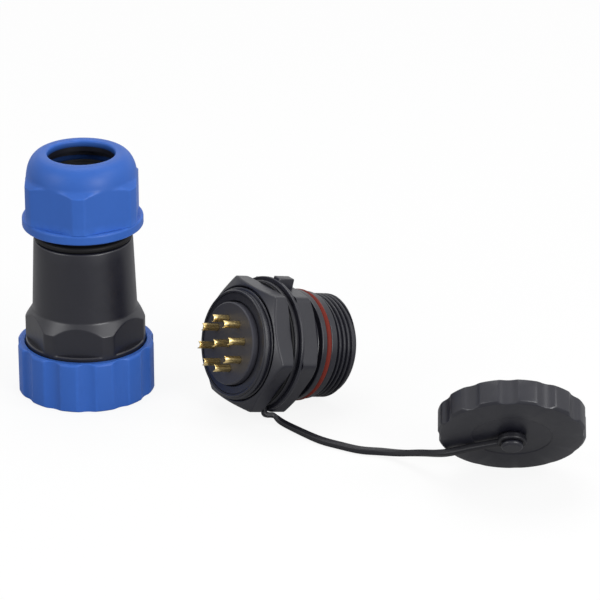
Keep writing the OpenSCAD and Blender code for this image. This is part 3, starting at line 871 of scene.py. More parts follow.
class ThreadTree(GrowthTree):
    """A right-hand thread: a ridge with a rounded crest that runs up a helix and fades out at both ends."""

    CREST_ROUND = 0.45
    FADES_PER_TURN = 5.0
    THINNEST = 0.02

    def __init__(self) -> None:
        """Builds the helix, its ridge section and the fading ends."""
        super().__init__("screw_thread", {
            "Radius": 10.0, "Turns": 4.0, "Pitch": PITCH, "Crest": 0.6, "Root Width": 1.1, "Crest Width": 0.35,
            "Sink": -0.1}, {"Steps": 96})
        graph, given = self.graph, self.given
        helix = graph.node("GeometryNodeCurveSpiral", None, {
            "Resolution": given("Steps"), "Rotations": given("Turns"), "Start Radius": given("Radius"),
            "End Radius": given("Radius"), "Height": given("Pitch") * given("Turns"), "Reverse": True}).outputs[0]
        upright = graph.node("GeometryNodeSetCurveNormal", {"mode": "Z_UP"}, {0: helix}).outputs[0]
        foot, half_root, half_crest = given("Sink"), given("Root Width") * 0.5, given("Crest Width") * 0.5
        corners = [(foot, half_root * -1.0), (foot, half_root),
                   (given("Crest"), half_crest), (given("Crest"), half_crest * -1.0)]
        points = {f"Point {i + 1}": graph.node("ShaderNodeCombineXYZ", None, {"X": x, "Y": y}).outputs[0]
                  for i, (x, y) in enumerate(corners)}
        ridge = graph.node("GeometryNodeCurvePrimitiveQuadrilateral", {"mode": "POINTS"}, points).outputs[0]
        soft = graph.node("GeometryNodeFilletCurve", {"mode": "POLY"},
                          {0: ridge, "Count": 3, "Radius": given("Crest Width") * self.CREST_ROUND,
                           "Limit Radius": True}).outputs[0]
        along = graph.value(graph.node("GeometryNodeSplineParameter"), "Factor")
        ends = along.lowest(1.0 - along) * given("Turns") * self.FADES_PER_TURN
        swept = graph.node("GeometryNodeCurveToMesh", None, {
            "Curve": upright, "Profile Curve": soft, "Scale": ends.lowest(1.0).highest(self.THINNEST),
            "Fill Caps": True}).outputs[0]
        self.close(swept)


class RowTree(GrowthTree):
    """Copies of one part on the points of a carrier, each turned by the carrier's own angle."""

    def __init__(self) -> None:
        """Builds the copies and their turns."""
        super().__init__("contact_row", {"Size": 1.0}, {})
        graph = self.graph
        turn = graph.node("GeometryNodeInputNamedAttribute", {"data_type": "FLOAT"}, {"Name": "turn"}).outputs[0]
        euler = graph.node("ShaderNodeCombineXYZ", None, {"Z": turn}).outputs[0]
        facing = graph.node("FunctionNodeEulerToRotation", None, {0: euler}).outputs[0]
        source = graph.node("GeometryNodeObjectInfo", {"transform_space": "ORIGINAL"},
                            {"Object": self.inputs.outputs["Source"]}).outputs["Geometry"]
        size = graph.node("ShaderNodeCombineXYZ", None, {a: self.given("Size") for a in "XYZ"}).outputs[0]
        copies = graph.node("GeometryNodeInstanceOnPoints", None, {
            "Points": self.inputs.outputs["Geometry"], "Instance": source, "Rotation": facing,
            "Scale": size}).outputs[0]
        self.close(copies)


class StrapTree(GrowthTree):
    """A strap with a rounded section, swept along a carrier line whose points say which side faces up."""

    def __init__(self) -> None:
        """Builds the line, its section and the sweep."""
        super().__init__("cap_strap", {"Width": 2.0, "Thickness": 1.8, "Edge": 0.45}, {})
        graph, given = self.graph, self.given
        line = graph.node("GeometryNodeMeshToCurve", None, {0: self.inputs.outputs["Geometry"]}).outputs[0]
        side = graph.node("GeometryNodeInputNamedAttribute", {"data_type": "FLOAT_VECTOR"},
                          {"Name": "side"}).outputs[0]
        turned = graph.node("GeometryNodeSetCurveNormal", {"mode": "FREE"}, {0: line, "Normal": side}).outputs[0]
        section = graph.node("GeometryNodeCurvePrimitiveQuadrilateral", {"mode": "RECTANGLE"},
                             {"Width": given("Thickness"), "Height": given("Width")}).outputs[0]
        soft = graph.node("GeometryNodeFilletCurve", {"mode": "POLY"},
                          {0: section, "Count": 5, "Radius": given("Edge"), "Limit Radius": True}).outputs[0]
        share = graph.node("GeometryNodeInputNamedAttribute", {"data_type": "FLOAT"}, {"Name": "share"}).outputs[0]
        self.close(graph.node("GeometryNodeCurveToMesh", None, {
            "Curve": turned, "Profile Curve": soft, "Scale": share, "Fill Caps": True}).outputs[0])


@dataclass(frozen=True)
class Thread:
    """One thread of the connector: an outer one stands up from its core, an inner one stands in from its bore."""

    name: str
    seat: Seat
    body: str
    surface: Surface
    core: float
    depth: float
    start: float
    end: float
    inner: bool = False
    lead: float = 0.0
    root_width: float = 1.15
    crest_width: float = 0.34
    sink: float = 0.12
    steps: int = 96
    sharp: float = 60.0

    def add(self, tree: ThreadTree) -> bpy.types.Object:
        """Grows the ridge and adds it as a piece.

        Args:
            tree: the thread's node tree.

        Returns:
            The piece.
        """
        turns = (self.end - self.start) / PITCH
        side = -1.0 if self.inner else 1.0
        carrier = bpy.data.meshes.new(self.name + "_carrier")
        mesh = tree.grow(self.name, carrier, self.surface, {
            "Radius": self.core, "Turns": turns, "Pitch": PITCH, "Crest": side * self.depth,
            "Root Width": self.root_width, "Crest Width": self.crest_width, "Sink": -side * self.sink,
            "Steps": self.steps})
        turn = 2.0 * math.pi * (self.start - self.lead) / PITCH
        local = Matrix.Translation((0.0, 0.0, self.start)) @ Matrix.Rotation(turn, 4, "Z")
        finished(mesh, self.seat.matrix() @ local, 1e-5, self.sharp)
        return add_piece(self.name, mesh, self.surface, self.body)


def ring_section(mid: float, height: float, cord: float, points: int = 28) -> Section:
    """Returns the round section of a seal ring.

    Args:
        mid: radius of the ring's middle line.
        height: height of its middle.
        cord: its thickness.
        points: number of points round the cord.

    Returns:
        The section.
    """
    turns = [2.0 * math.pi * i / points for i in range(points)]
    return Section([Corner(mid + cord / 2.0 * math.cos(t), height + cord / 2.0 * math.sin(t)) for t in turns])


@dataclass(frozen=True)
class CouplingRing:
    """The blue ring that screws the plug on: fluted grip, plain mouth and inner thread."""

    radius: float = 19.15
    height: float = 14.4
    top_round: float = 1.3
    foot: float = 0.35
    mouth: float = 15.8
    mouth_height: float = 4.4
    bore: float = 14.6
    chamfer: float = 0.3
    thread_low: float = 4.75
    thread_high: float = 6.1
    thread_depth: float = 0.55
    lip: float = 13.25
    lip_low: float = 8.8
    lip_high: float = 10.2
    recess: float = 16.95
    clock: float = -86.5

    def build(self, threads: ThreadTree) -> None:
        """Adds the ring and its thread, which ends below the face gasket.

        Args:
            threads: the node tree of the threads.
        """
        grip = Flutes(self.radius, self.clock)
        section = Section([
            Corner(self.mouth + self.chamfer, 0.0, CRISP), Corner(self.radius - self.foot, 0.0, SOFT, grip),
            Corner(self.radius, self.foot, BROAD, grip), Corner(self.radius, self.height, self.top_round, grip, 3),
            Corner(self.recess + self.chamfer, self.height, CRISP),
            Corner(self.recess, self.height - self.chamfer, CRISP),
            Corner(self.recess, self.lip_high, PLAIN), Corner(self.lip, self.lip_high, CRISP),
            Corner(self.lip, self.lip_low, CRISP), Corner(self.bore, self.lip_low, CRISP),
            Corner(self.bore, self.mouth_height, CRISP),
            Corner(self.mouth, self.mouth_height - (self.mouth - self.bore) / 2.0, CRISP),
            Corner(self.mouth, self.chamfer, CRISP)])
        add_turned("coupling_ring_grip", section, Seat.PLUG, Surface.BLUE, "coupling_ring", "coupling_ring")
        Thread("coupling_ring_thread", Seat.PLUG, "coupling_ring", Surface.BLUE, self.bore,
               self.thread_depth, self.thread_low, self.thread_high, True).add(threads)


@dataclass(frozen=True)
class BackShell:
    """The black body of the plug: collar with six flats, slim taper and gland thread."""

    foot: float = 10.4
    collar: float = 16.75
    across: float = 30.6
    clock: float = -94.5
    flats: float = 15.4
    flats_edge: float = 0.12
    ledge: float = 0.3
    cone: float = 21.2
    taper: float = 24.6
    taper_base: float = 14.62
    taper_head: float = 13.8
    top: float = 45.1
    relief: float = 11.85
    relief_high: float = 47.06
    thread: float = 13.2
    thread_top: float = 60.0
    thread_depth: float = 0.65
    thread_ends: tuple[float, float] = (0.4, 0.5)
    lead_in: tuple[float, float] = (0.4, 0.3)
    neck: float = 13.05
    neck_top: float = 21.9
    wires: float = 11.15
    throat: float = 8.5
    throat_low: float = 43.96
    seat: float = 10.8
    seat_low: float = 47.96
    ring_cord: float = 1.86
    ring_gap: float = 0.05

    def build(self, threads: ThreadTree) -> None:
        """Adds the shell, its gland thread and the ring seal above its shoulder.

        Args:
            threads: the node tree of the threads.
        """
        cut = Flats(self.across, self.clock, self.flats_edge)
        ledge = Flats(self.across, self.clock, self.flats_edge, self.ledge)
        core = self.thread - self.thread_depth
        section = Section([
            Corner(self.neck, self.foot, CRISP), Corner(self.collar, self.foot, CRISP),
            Corner(self.collar, self.flats - self.ledge), Corner(self.collar, self.flats, 0.0, ledge),
            Corner(self.collar, self.flats, 0.0, cut),
            Corner(self.collar, self.cone, 0.6, cut, 18), Corner(self.taper_base, self.taper, 1.4, cut, 26),
            Corner(self.taper_head, self.top, 0.55, None, 6), Corner(self.relief, self.top, PLAIN),
            Corner(self.relief, self.relief_high, PLAIN), Corner(core, self.relief_high, PLAIN),
            Corner(core, self.thread_top - self.lead_in[1], SOFT),
            Corner(core - self.lead_in[0], self.thread_top, PLAIN),
            Corner(self.seat, self.thread_top, PLAIN), Corner(self.seat, self.seat_low, PLAIN),
            Corner(self.throat, self.seat_low, PLAIN), Corner(self.throat, self.throat_low, SOFT),
            Corner(self.wires, self.throat_low - self.wires + self.throat, SOFT),
            Corner(self.wires, self.neck_top, PLAIN), Corner(self.neck, self.neck_top, PLAIN)])
        add_turned("back_shell_body", section, Seat.PLUG, Surface.BLACK, "connector", "back_shell")
        Thread("gland_thread", Seat.PLUG, "connector", Surface.BLACK, core, self.thread_depth,
               self.relief_high + self.thread_ends[0], self.thread_top - self.thread_ends[1]).add(threads)
        mid = self.relief + self.ring_gap + self.ring_cord / 2.0
        seal = ring_section(mid, (self.top + self.relief_high) / 2.0, self.ring_cord)
        add_turned("gland_seal_ring", seal, Seat.PLUG, Surface.RUBBER, "connector", "gland_o_ring")


@dataclass(frozen=True)
class GlandNut:
    """The blue gland nut: rounded hexagon on a flange under a smooth dome with the cable hole."""

    low: float = 48.9
    height: float = 21.0
    flange: float = 16.8
    flange_height: float = 2.9
    across: float = 30.6
    pads_top: float = 13.5
    pads_slope: float = 0.8
    dome_height: float = 6.9
    dome_width: float = 4.2
    dome_steps: int = 24
    hole: float = 9.4
    rim: float = 0.6
    ceiling: float = 19.1
    cavity: float = 12.7
    bore: float = 13.3
    mouth: float = 0.6
    thread_depth: float = 0.5
    thread_ends: tuple[float, float] = (0.8, 0.4)

    def build(self, threads: ThreadTree) -> None:
        """Adds the nut and its inner thread.

        Args:
            threads: the node tree of the threads.
        """
        pads = CornerPads(self.across, self.flange, self.low + self.pads_top)
        round_r = self.across / 2.0
        dome_low = self.low + self.height - self.dome_height
        dome = [Corner(round_r - self.dome_width + self.dome_width * math.cos(a),
                       dome_low + self.dome_height * math.sin(a), 0.0, pads)
                for a in (math.pi / 2.0 * i / self.dome_steps for i in range(1, self.dome_steps + 1))]
        top = self.low + self.height
        section = Section([
            Corner(self.bore + self.mouth, self.low, CRISP), Corner(self.flange, self.low, 0.55),
            Corner(self.flange, self.low + self.flange_height, 0.7),
            Corner(round_r, self.low + self.flange_height, 0.0),
            Corner(round_r, self.low + self.flange_height, 0.0, pads),
            Corner(round_r, self.low + self.pads_top - self.pads_slope, 0.0, pads, 4),
            Corner(round_r, dome_low, 0.0, pads, 8),
            *dome, Corner(self.hole, top, self.rim), Corner(self.hole, self.low + self.ceiling, CRISP),
            Corner(self.cavity, self.low + self.ceiling, PLAIN), Corner(self.cavity, self.low + self.pads_top, FINE),
            Corner(self.bore, self.low + self.pads_top, CRISP), Corner(self.bore, self.low + self.mouth, CRISP)])
        nut = section.mesh("gland_nut_dome", Seat.PLUG)
        # Painted shade inside the cable hole and the cavity behind it
        paint_recess_shade(nut, (self.bore + FINE) * MM, (top - self.rim) * MM, (top - 3.0 * self.rim) * MM)
        add_piece("gland_nut_dome", nut, Surface.BLUE, "gland_nut", "gland_nut")
        Thread("gland_nut_thread", Seat.PLUG, "gland_nut", Surface.BLUE, self.bore, self.thread_depth,
               self.low + self.thread_ends[0], self.low + self.pads_top - self.thread_ends[1], True,
               PITCH / 2.0).add(threads)


@dataclass(frozen=True)
class CableSeal:
    """The ridged rubber seal that the nut presses on the cable."""

    bore: float = 5.2
    low: float = 48.01
    radius: float = 10.75
    shoulder: float = 60.0
    face: float = 9.1
    top: float = 64.55
    ridges: int = 4

    def build(self) -> None:
        """Adds the seal with its stepped face."""
        step = (self.face - self.bore) / (self.ridges + 1)
        stairs = [Corner(self.face - step * i, self.top - step * (i - 1 + k), 0.22)
                  for i in range(1, self.ridges + 1) for k in (0, 1)]
        section = Section([
            Corner(self.bore, self.low, SOFT), Corner(self.radius, self.low, 0.3),
            Corner(self.radius, self.shoulder, 0.3), Corner(self.face, self.top, 0.3), *stairs,
            Corner(self.bore, self.top - step * self.ridges, BROAD)])
        add_turned("cable_seal_ridges", section, Seat.PLUG, Surface.RUBBER, "connector", "cable_seal", COLUMNS // 2)


@dataclass(frozen=True)
class ReceptacleSizes:
    """Sizes that several pieces of the receptacle share, along its axis from the front of the hexagon."""

    thread_mid: float = 12.5
    rear: float = -16.2
    rear_thread: float = 15.4
    rear_bore: float = 13.9
    across: float = 33.4
    corner: float = 19.04
    flange: float = 18.7
    hex_low: float = -6.5
    flange_high: float = -5.5
    loop_low: float = -7.95
    loop_height: float = 1.4
    thread: float = 14.5
    front: float = 16.4
    thread_low: float = 9.2
    socket: float = 12.5
    socket_low: float = 5.5
    face: float = -17.7


@dataclass(frozen=True)
class Receptacle:
    """The black panel receptacle: rear thread, hexagon with index lug, seal groove, front thread and socket."""

    sizes: ReceptacleSizes = ReceptacleSizes()
    groove: float = 13.7
    neck_high: float = 3.1
    lip: float = 15.5
    lip_high: float = 4.8
    seal_cord: float = 1.8
    shoulder: float = 15.0
    shoulder_low: float = 6.7
    shoulder_slope: float = 0.4
    front_depth: float = 0.72
    front_ends: tuple[float, float] = (-0.2, 0.35)
    rear_depth: float = 0.65
    rear_ends: tuple[float, float] = (0.35, 0.5)
    rear_rim: float = 0.3
    rim: float = 0.25
    mouth: float = 0.5
    relief: float = 0.1
    pocket: float = 11.5
    step: float = -11.6
    lug: tuple[float, float] = (19.4, 3.0)
    lug_rise: float = 0.5
    lug_sink: float = 1.0
    hex_edge: float = 0.4
    chamfer: float = 0.9
    chamfer_width: float = 1.5
    key: tuple[float, float] = (0.7, 2.1)
    key_sink: float = 0.4
    key_short: float = 1.2
    seal_proud: float = 0.05

    def build(self, threads: ThreadTree) -> None:
        """Adds the shell with its lug and key, its two threads and the red seal ring.

        Args:
            threads: the node tree of the threads.
        """
        s = self.sizes
        rear_core, front_core = s.rear_thread - self.rear_depth, s.thread - self.front_depth
        hexagon = Flats(s.across, 0.0, self.hex_edge)
        crown = s.corner - self.chamfer_width
        shell = Section([
            Corner(s.rear_bore, s.rear, PLAIN), Corner(rear_core - self.rim, s.rear, PLAIN),
            Corner(rear_core, s.rear + self.rear_rim, PLAIN), Corner(rear_core, s.loop_low - self.relief, FINE),
            Corner(s.rear_thread, s.loop_low - self.relief, FINE), Corner(s.rear_thread, s.hex_low, CRISP),
            Corner(s.flange, s.hex_low, BROAD), Corner(s.flange, s.flange_high, BROAD),
            Corner(crown, s.flange_high, 0.0), Corner(s.corner, s.flange_high, 0.0, hexagon),
            Corner(s.corner, -self.chamfer, 0.35, hexagon, 6), Corner(crown, 0.0, 0.35, hexagon, 4),
            Corner(self.groove, 0.0, SOFT), Corner(self.groove, self.neck_high, SOFT),
            Corner(self.lip, self.neck_high, 0.3), Corner(self.lip, self.lip_high, SOFT),
            Corner(self.groove, self.lip_high, PLAIN), Corner(self.groove, self.shoulder_low, PLAIN),
            Corner(self.shoulder, self.shoulder_low, BROAD),
            Corner(self.shoulder, s.thread_low - self.relief - self.shoulder_slope, BROAD),
            Corner(front_core, s.thread_low - self.relief, SOFT), Corner(front_core, s.front - self.rim, SOFT),
            Corner(front_core - self.rim, s.front, PLAIN), Corner(s.socket + self.mouth, s.front, PLAIN),
            Corner(s.socket, s.front - self.mouth, SOFT), Corner(s.socket, s.socket_low, PLAIN),
            Corner(self.pocket, s.socket_low, FINE), Corner(self.pocket, self.step, FINE),
            Corner(s.rear_bore, self.step, PLAIN)]).mesh("shell", Seat.RECEPTACLE)
        lug = block("lug", (-self.lug[0], -self.lug[1] / 2.0, s.hex_low + self.lug_rise),
                    (self.lug_sink - s.across / 2.0, self.lug[1] / 2.0, -self.chamfer), 0.3, Seat.RECEPTACLE)
        key = block("key", (-s.socket - self.key_sink, -self.key[1] / 2.0, s.socket_low - self.key_sink),
                    (self.key[0] - s.socket, self.key[1] / 2.0, s.front - self.key_short), PLAIN, Seat.RECEPTACLE)
        add_piece("receptacle_body", joined("receptacle_body", (shell, lug, key)), Surface.BLACK, "connector",
                  "receptacle_shell")
        Thread("panel_thread", Seat.RECEPTACLE, "connector", Surface.BLACK, rear_core, self.rear_depth,
               s.rear + self.rear_ends[0], s.loop_low - self.rear_ends[1]).add(threads)
        Thread("coupling_thread", Seat.RECEPTACLE, "connector", Surface.BLACK, front_core, self.front_depth,
               s.thread_low + self.front_ends[0], s.front - self.front_ends[1]).add(threads)
        seal = ring_section(self.lip + self.seal_proud - self.seal_cord / 2.0,
                            (self.lip_high + self.shoulder_low) / 2.0, self.seal_cord)
        add_turned("coupling_seal_ring", seal, Seat.RECEPTACLE, Surface.RED, "connector", "coupling_o_ring")


@dataclass(frozen=True)
class PanelNut:
    """The nut and washer that clamp the receptacle in its panel."""

    sizes: ReceptacleSizes = ReceptacleSizes()
    low: float = -14.0
    height: float = 5.3
    bore: float = 15.5
    mouth: float = 0.4
    crown: float = 0.6
    back: tuple[float, float] = (0.5, 0.3)
    hex_edge: float = 0.4
    thread_depth: float = 0.45
    thread_ends: tuple[float, float] = (0.5, 0.4)
    washer_low: float = -8.65
    washer_high: float = -8.15
    washer_bore: float = 15.6
    washer: float = 17.3

    def build(self, threads: ThreadTree) -> None:
        """Adds the nut, its inner thread and the washer.

        Args:
            threads: the node tree of the threads.
        """
        s = self.sizes
        hexagon = Flats(s.across, 0.0, self.hex_edge)
        face, corner, top = s.across / 2.0 - self.crown, s.corner + FINE, self.low + self.height
        width, depth = self.back
        nut = Section([
            Corner(self.bore, self.low + self.mouth, FINE), Corner(self.bore + self.mouth, self.low, FINE),
            Corner(face, self.low, SOFT, hexagon),
            Corner(corner, self.low + (corner - face) / 2.0, 0.3, hexagon, 8),
            Corner(corner, top - depth, BROAD, hexagon, 6), Corner(corner - width, top, SOFT, hexagon, 2),
            Corner(self.bore + depth, top, FINE), Corner(self.bore, top - depth, FINE)])
        add_turned("panel_nut_hexagon", nut, Seat.RECEPTACLE, Surface.BLACK, "panel_nut", "panel_nut")
        Thread("panel_nut_thread", Seat.RECEPTACLE, "panel_nut", Surface.BLACK, self.bore, self.thread_depth,
               self.low + self.thread_ends[0], top - self.thread_ends[1], True, PITCH / 2.0).add(threads)
        washer = Section([
            Corner(self.washer_bore, self.washer_low, FINE), Corner(self.washer, self.washer_low, PLAIN),
            Corner(self.washer, self.washer_high, PLAIN), Corner(self.washer_bore, self.washer_high, FINE)])
        add_turned("panel_washer_ring", washer, Seat.RECEPTACLE, Surface.RUBBER, "panel_washer", "panel_washer")


@dataclass(frozen=True)
class PinContacts:
    """The nine gold pins with their half-open solder cups."""

    sizes: ReceptacleSizes = ReceptacleSizes()
    circle: float = 6.8
    clock: float = 22.0
    round_count: int = 8
    cup: float = 1.05
    cup_bore: float = 0.75
    cup_length: float = 5.2
    bored: float = 3.38
    cone: float = 0.25
    scoop: float = 1.4
    open_turn: float = 80.0
    shoulder: float = 0.4
    pin: float = 0.8
    pin_length: float = 6.0
    columns: int = 40
    nose_steps: int = 8

    def build(self) -> None:
        """Adds the contacts as copies of one turned contact."""
        s = self.sizes
        end, tip = s.face - self.cup_length, s.socket_low + self.pin_length
        opened = end + self.scoop
        scoop = OpenSide(opened)
        nose = [Corner(self.pin * math.sin(a), tip - self.pin + self.pin * math.cos(a))
                for a in (math.pi / 2.0 * i / self.nose_steps for i in range(self.nose_steps + 1))]
        section = Section([
            *nose, Corner(self.pin, s.socket_low - self.shoulder, 0.05),
            Corner(self.cup, s.socket_low - self.shoulder, 0.08), Corner(self.cup, opened),
            Corner(self.cup, end, 0.08, scoop), Corner(self.cup_bore, end, 0.06, scoop),
            Corner(self.cup_bore, opened), Corner(self.cup_bore, end + self.bored, PLAIN),
            Corner(0.0, end + self.bored + self.cone)], closed=False)
        source_mesh = section.mesh("contact_source", Seat.PLUG, self.columns)
        source_mesh.transform(Matrix.Diagonal((1.0 / MM, 1.0 / MM, 1.0 / MM, 1.0)))
        # Painted shade inside the solder cups
        paint_recess_shade(source_mesh, self.cup_bore + 0.01, end, opened)
        source = bpy.data.objects.new("contact_source", source_mesh)
        turns = [math.radians(self.clock + 360.0 / self.round_count * i) for i in range(1, self.round_count + 1)]
        places = [(self.circle * math.cos(t), self.circle * math.sin(t), 0.0) for t in turns] + [(0.0, 0.0, 0.0)]
        carrier = bpy.data.meshes.new("contact_places")
        carrier.from_pydata(places, [], [])
        angle = carrier.attributes.new("turn", "FLOAT", "POINT")
        angle.data.foreach_set("value", [math.radians(self.open_turn)] * len(places))
        mesh = RowTree().grow("pin_contacts", carrier, Surface.GOLD, {"Size": 1.0, "Source": source})
        bpy.data.objects.remove(source)
        bpy.data.meshes.remove(source_mesh)
        nodes = [f"pin_contact_{i}" for i in range(1, self.round_count + 2)]
        add_piece("pin_contacts", finished(mesh, Seat.RECEPTACLE.matrix(), sharp=40.0), Surface.GOLD, "connector",
                  *nodes)


@dataclass(frozen=True)
class CapTether:
    """The moulded tether of the cap: loop on the receptacle, strap along its route, eyelet on the rivet.

    The route starts with steps round the receptacle, each given by its way out from the flange, its turn from the root
    and its way ahead of the loop. It goes on over the floor and ends with steps along the cap's face. The sides say
    where the strap's upper side faces: at the root as shares of the loop's axis and of the way in from the flange, and
    on the floor as directions.
    """

    sizes: ReceptacleSizes = ReceptacleSizes()
    width: float = 2.0
    thickness: float = 1.8
    edge: float = 0.5
    loop_bore: float = 15.5
    loop: float = 17.6
    eyelet_bore: float = 1.7
    eyelet: float = 3.9
    eyelet_low: float = -2.1
    eyelet_columns: int = 96
    root_turn: float = -28.0
    root_depth: float = 1.2
    root_steps: tuple[Triple, ...] = ((-0.4, 0.0, 0.0), (0.7, -0.5, 0.05), (1.1, -1.0, 1.05), (1.35, -2.0, 2.8))
    floor_steps: tuple[Triple, ...] = (
        (55.2, -27.8, 1.2), (60.2, -33.5, 1.1), (65.6, -39.0, 1.1), (71.0, -42.5, 1.1), (76.4, -45.3, 1.1),
        (81.8, -46.7, 1.3), (87.0, -49.9, 2.4), (92.2, -54.9, 4.8))
    cap_steps: tuple[tuple[float, float], ...] = ((-17.6, 7.8), (-10.4, 4.3), (-2.6, 0.8))
    root_sides: tuple[tuple[float, float], ...] = ((1.0, 0.0), (1.0, 0.0), (1.0, 0.4), (1.0, 2.0), (0.0, 1.0))
    floor_sides: tuple[Triple, ...] = (*[(0.0, 0.0, 1.0)] * 6, (0.0, 0.3, 1.0), (0.0, 0.6, 0.8))
    side_turn: float = -29.0
    thin_to: float = 4.0
    full_from: float = 7.0
    smooth_steps: int = 12

    def build(self) -> None:
        """Adds the tether as one piece."""
        s = self.sizes
        loop = self._band(self.loop_bore, self.loop, s.loop_low, s.loop_height).mesh("loop", Seat.RECEPTACLE)
        eyelet = self._band(self.eyelet_bore, self.eyelet, self.eyelet_low, self.thickness).mesh(
            "eyelet", Seat.CAP, self.eyelet_columns)
        points, sides, shares = self._line()
        carrier = bpy.data.meshes.new("strap_line")
        carrier.from_pydata(points.tolist(), [(i, i + 1) for i in range(len(points) - 1)], [])
        side = carrier.attributes.new("side", "FLOAT_VECTOR", "POINT")
        side.data.foreach_set("vector", sides.ravel().tolist())
        share = carrier.attributes.new("share", "FLOAT", "POINT")
        share.data.foreach_set("value", shares.tolist())
        strap = StrapTree().grow("strap", carrier, Surface.STRAP, {
            "Width": self.width, "Thickness": self.thickness, "Edge": self.edge})
        strap = finished(strap, Seat.PLUG.matrix(), sharp=50.0)
        add_piece("cap_tether_strap", joined("cap_tether_strap", (loop, strap, eyelet)), Surface.STRAP, "connector",
                  "cap_tether")

    @staticmethod
    def _band(bore: float, radius: float, low: float, height: float) -> Section:
        """Makes the section of a flat ring with soft edges.

        Args:
            bore: its inner radius.
            radius: its outer radius.
            low: height of its lower face.
            height: its thickness.

        Returns:
            The section.
        """
        high = low + height
        return Section([Corner(bore, low, SOFT), Corner(radius, low, 2.0 * SOFT), Corner(radius, high, 2.0 * SOFT),
                        Corner(bore, high, SOFT)])

    def _by_loop(self, r: float, turn: float, ahead: float) -> np.ndarray:
        """Gives a point of the route beside the loop.

        Args:
            r: its distance from the receptacle's axis.
            turn: its turn round the axis in degrees.
            ahead: its distance from the loop's middle along the axis.

        Returns:
            The point in millimetres of the shared frame.
        """
        middle = self.sizes.loop_low + self.sizes.loop_height / 2.0
        a = math.radians(turn)
        return Seat.RECEPTACLE.point((r * math.cos(a), r * math.sin(a), middle + ahead))

    def _route(self) -> tuple[list[np.ndarray], list[np.ndarray]]:
        """Works out where the strap goes.

        Returns:
            The points of the route, and for each of them the direction that the strap's upper side faces.
        """
        flange, turn = self.sizes.flange, self.root_turn
        middle = self.eyelet_low + self.thickness / 2.0
        route = [self._by_loop(self.loop - self.root_depth, turn, 0.0)]
        route += [self._by_loop(flange + out, turn + on, ahead) for out, on, ahead in self.root_steps]
        route += [np.array(step) for step in self.floor_steps]
        route += [Seat.CAP.point((x, y, middle)) for x, y in self.cap_steps]
        base, out = Seat.RECEPTACLE.point((0, 0, 0)), math.radians(self.side_turn)
        by_loop = Seat.RECEPTACLE.point((0, 0, 1)) - base
        by_flange = Seat.RECEPTACLE.point((-math.cos(out), -math.sin(out), 0)) - base
        by_cap = Seat.CAP.point((0, 0, 1)) - Seat.CAP.point((0, 0, 0))
        sides = [along * by_loop + inwards * by_flange for along, inwards in self.root_sides]
        sides += [np.array(side) for side in self.floor_sides]
        sides += [by_cap] * len(self.cap_steps)
        return route, sides

    def _line(self) -> tuple[np.ndarray, np.ndarray, np.ndarray]:
        """Draws a smooth line through the route.

        Returns:
            The line's points, and for each of them the direction of the strap's upper side and the share of its full
            section, which starts with the loop's thickness.
        """
        route, sides = self._route()
        last = len(route) - 1
        knots = [route[max(0, min(last, i))] for i in range(-1, last + 2)]
        line, ups, spots = [], [], []
        for i in range(last):
            a, b, c, d = knots[i:i + 4]
            for k in range(self.smooth_steps + (i == last - 1)):
                t = k / self.smooth_steps
                line.append(0.5 * (2 * b + (c - a) * t + (2 * a - 5 * b + 4 * c - d) * t ** 2
                                   + (3 * b - a - 3 * c + d) * t ** 3))
                ups.append(sides[i] * (1 - t) + sides[i + 1] * t)
                spots.append(i + t)
        points, upper = np.array(line), np.array(ups)
        ahead = np.gradient(points, axis=0)
        ahead /= np.linalg.norm(ahead, axis=1)[:, None]
        upper -= (upper * ahead).sum(axis=1)[:, None] * ahead
        thin = np.clip((self.full_from - np.array(spots)) / (self.full_from - self.thin_to), 0.0, 1.0)
        shares = 1.0 - (1.0 - self.sizes.loop_height / self.thickness) * thin
        return points, upper / np.linalg.norm(upper, axis=1)[:, None], shares


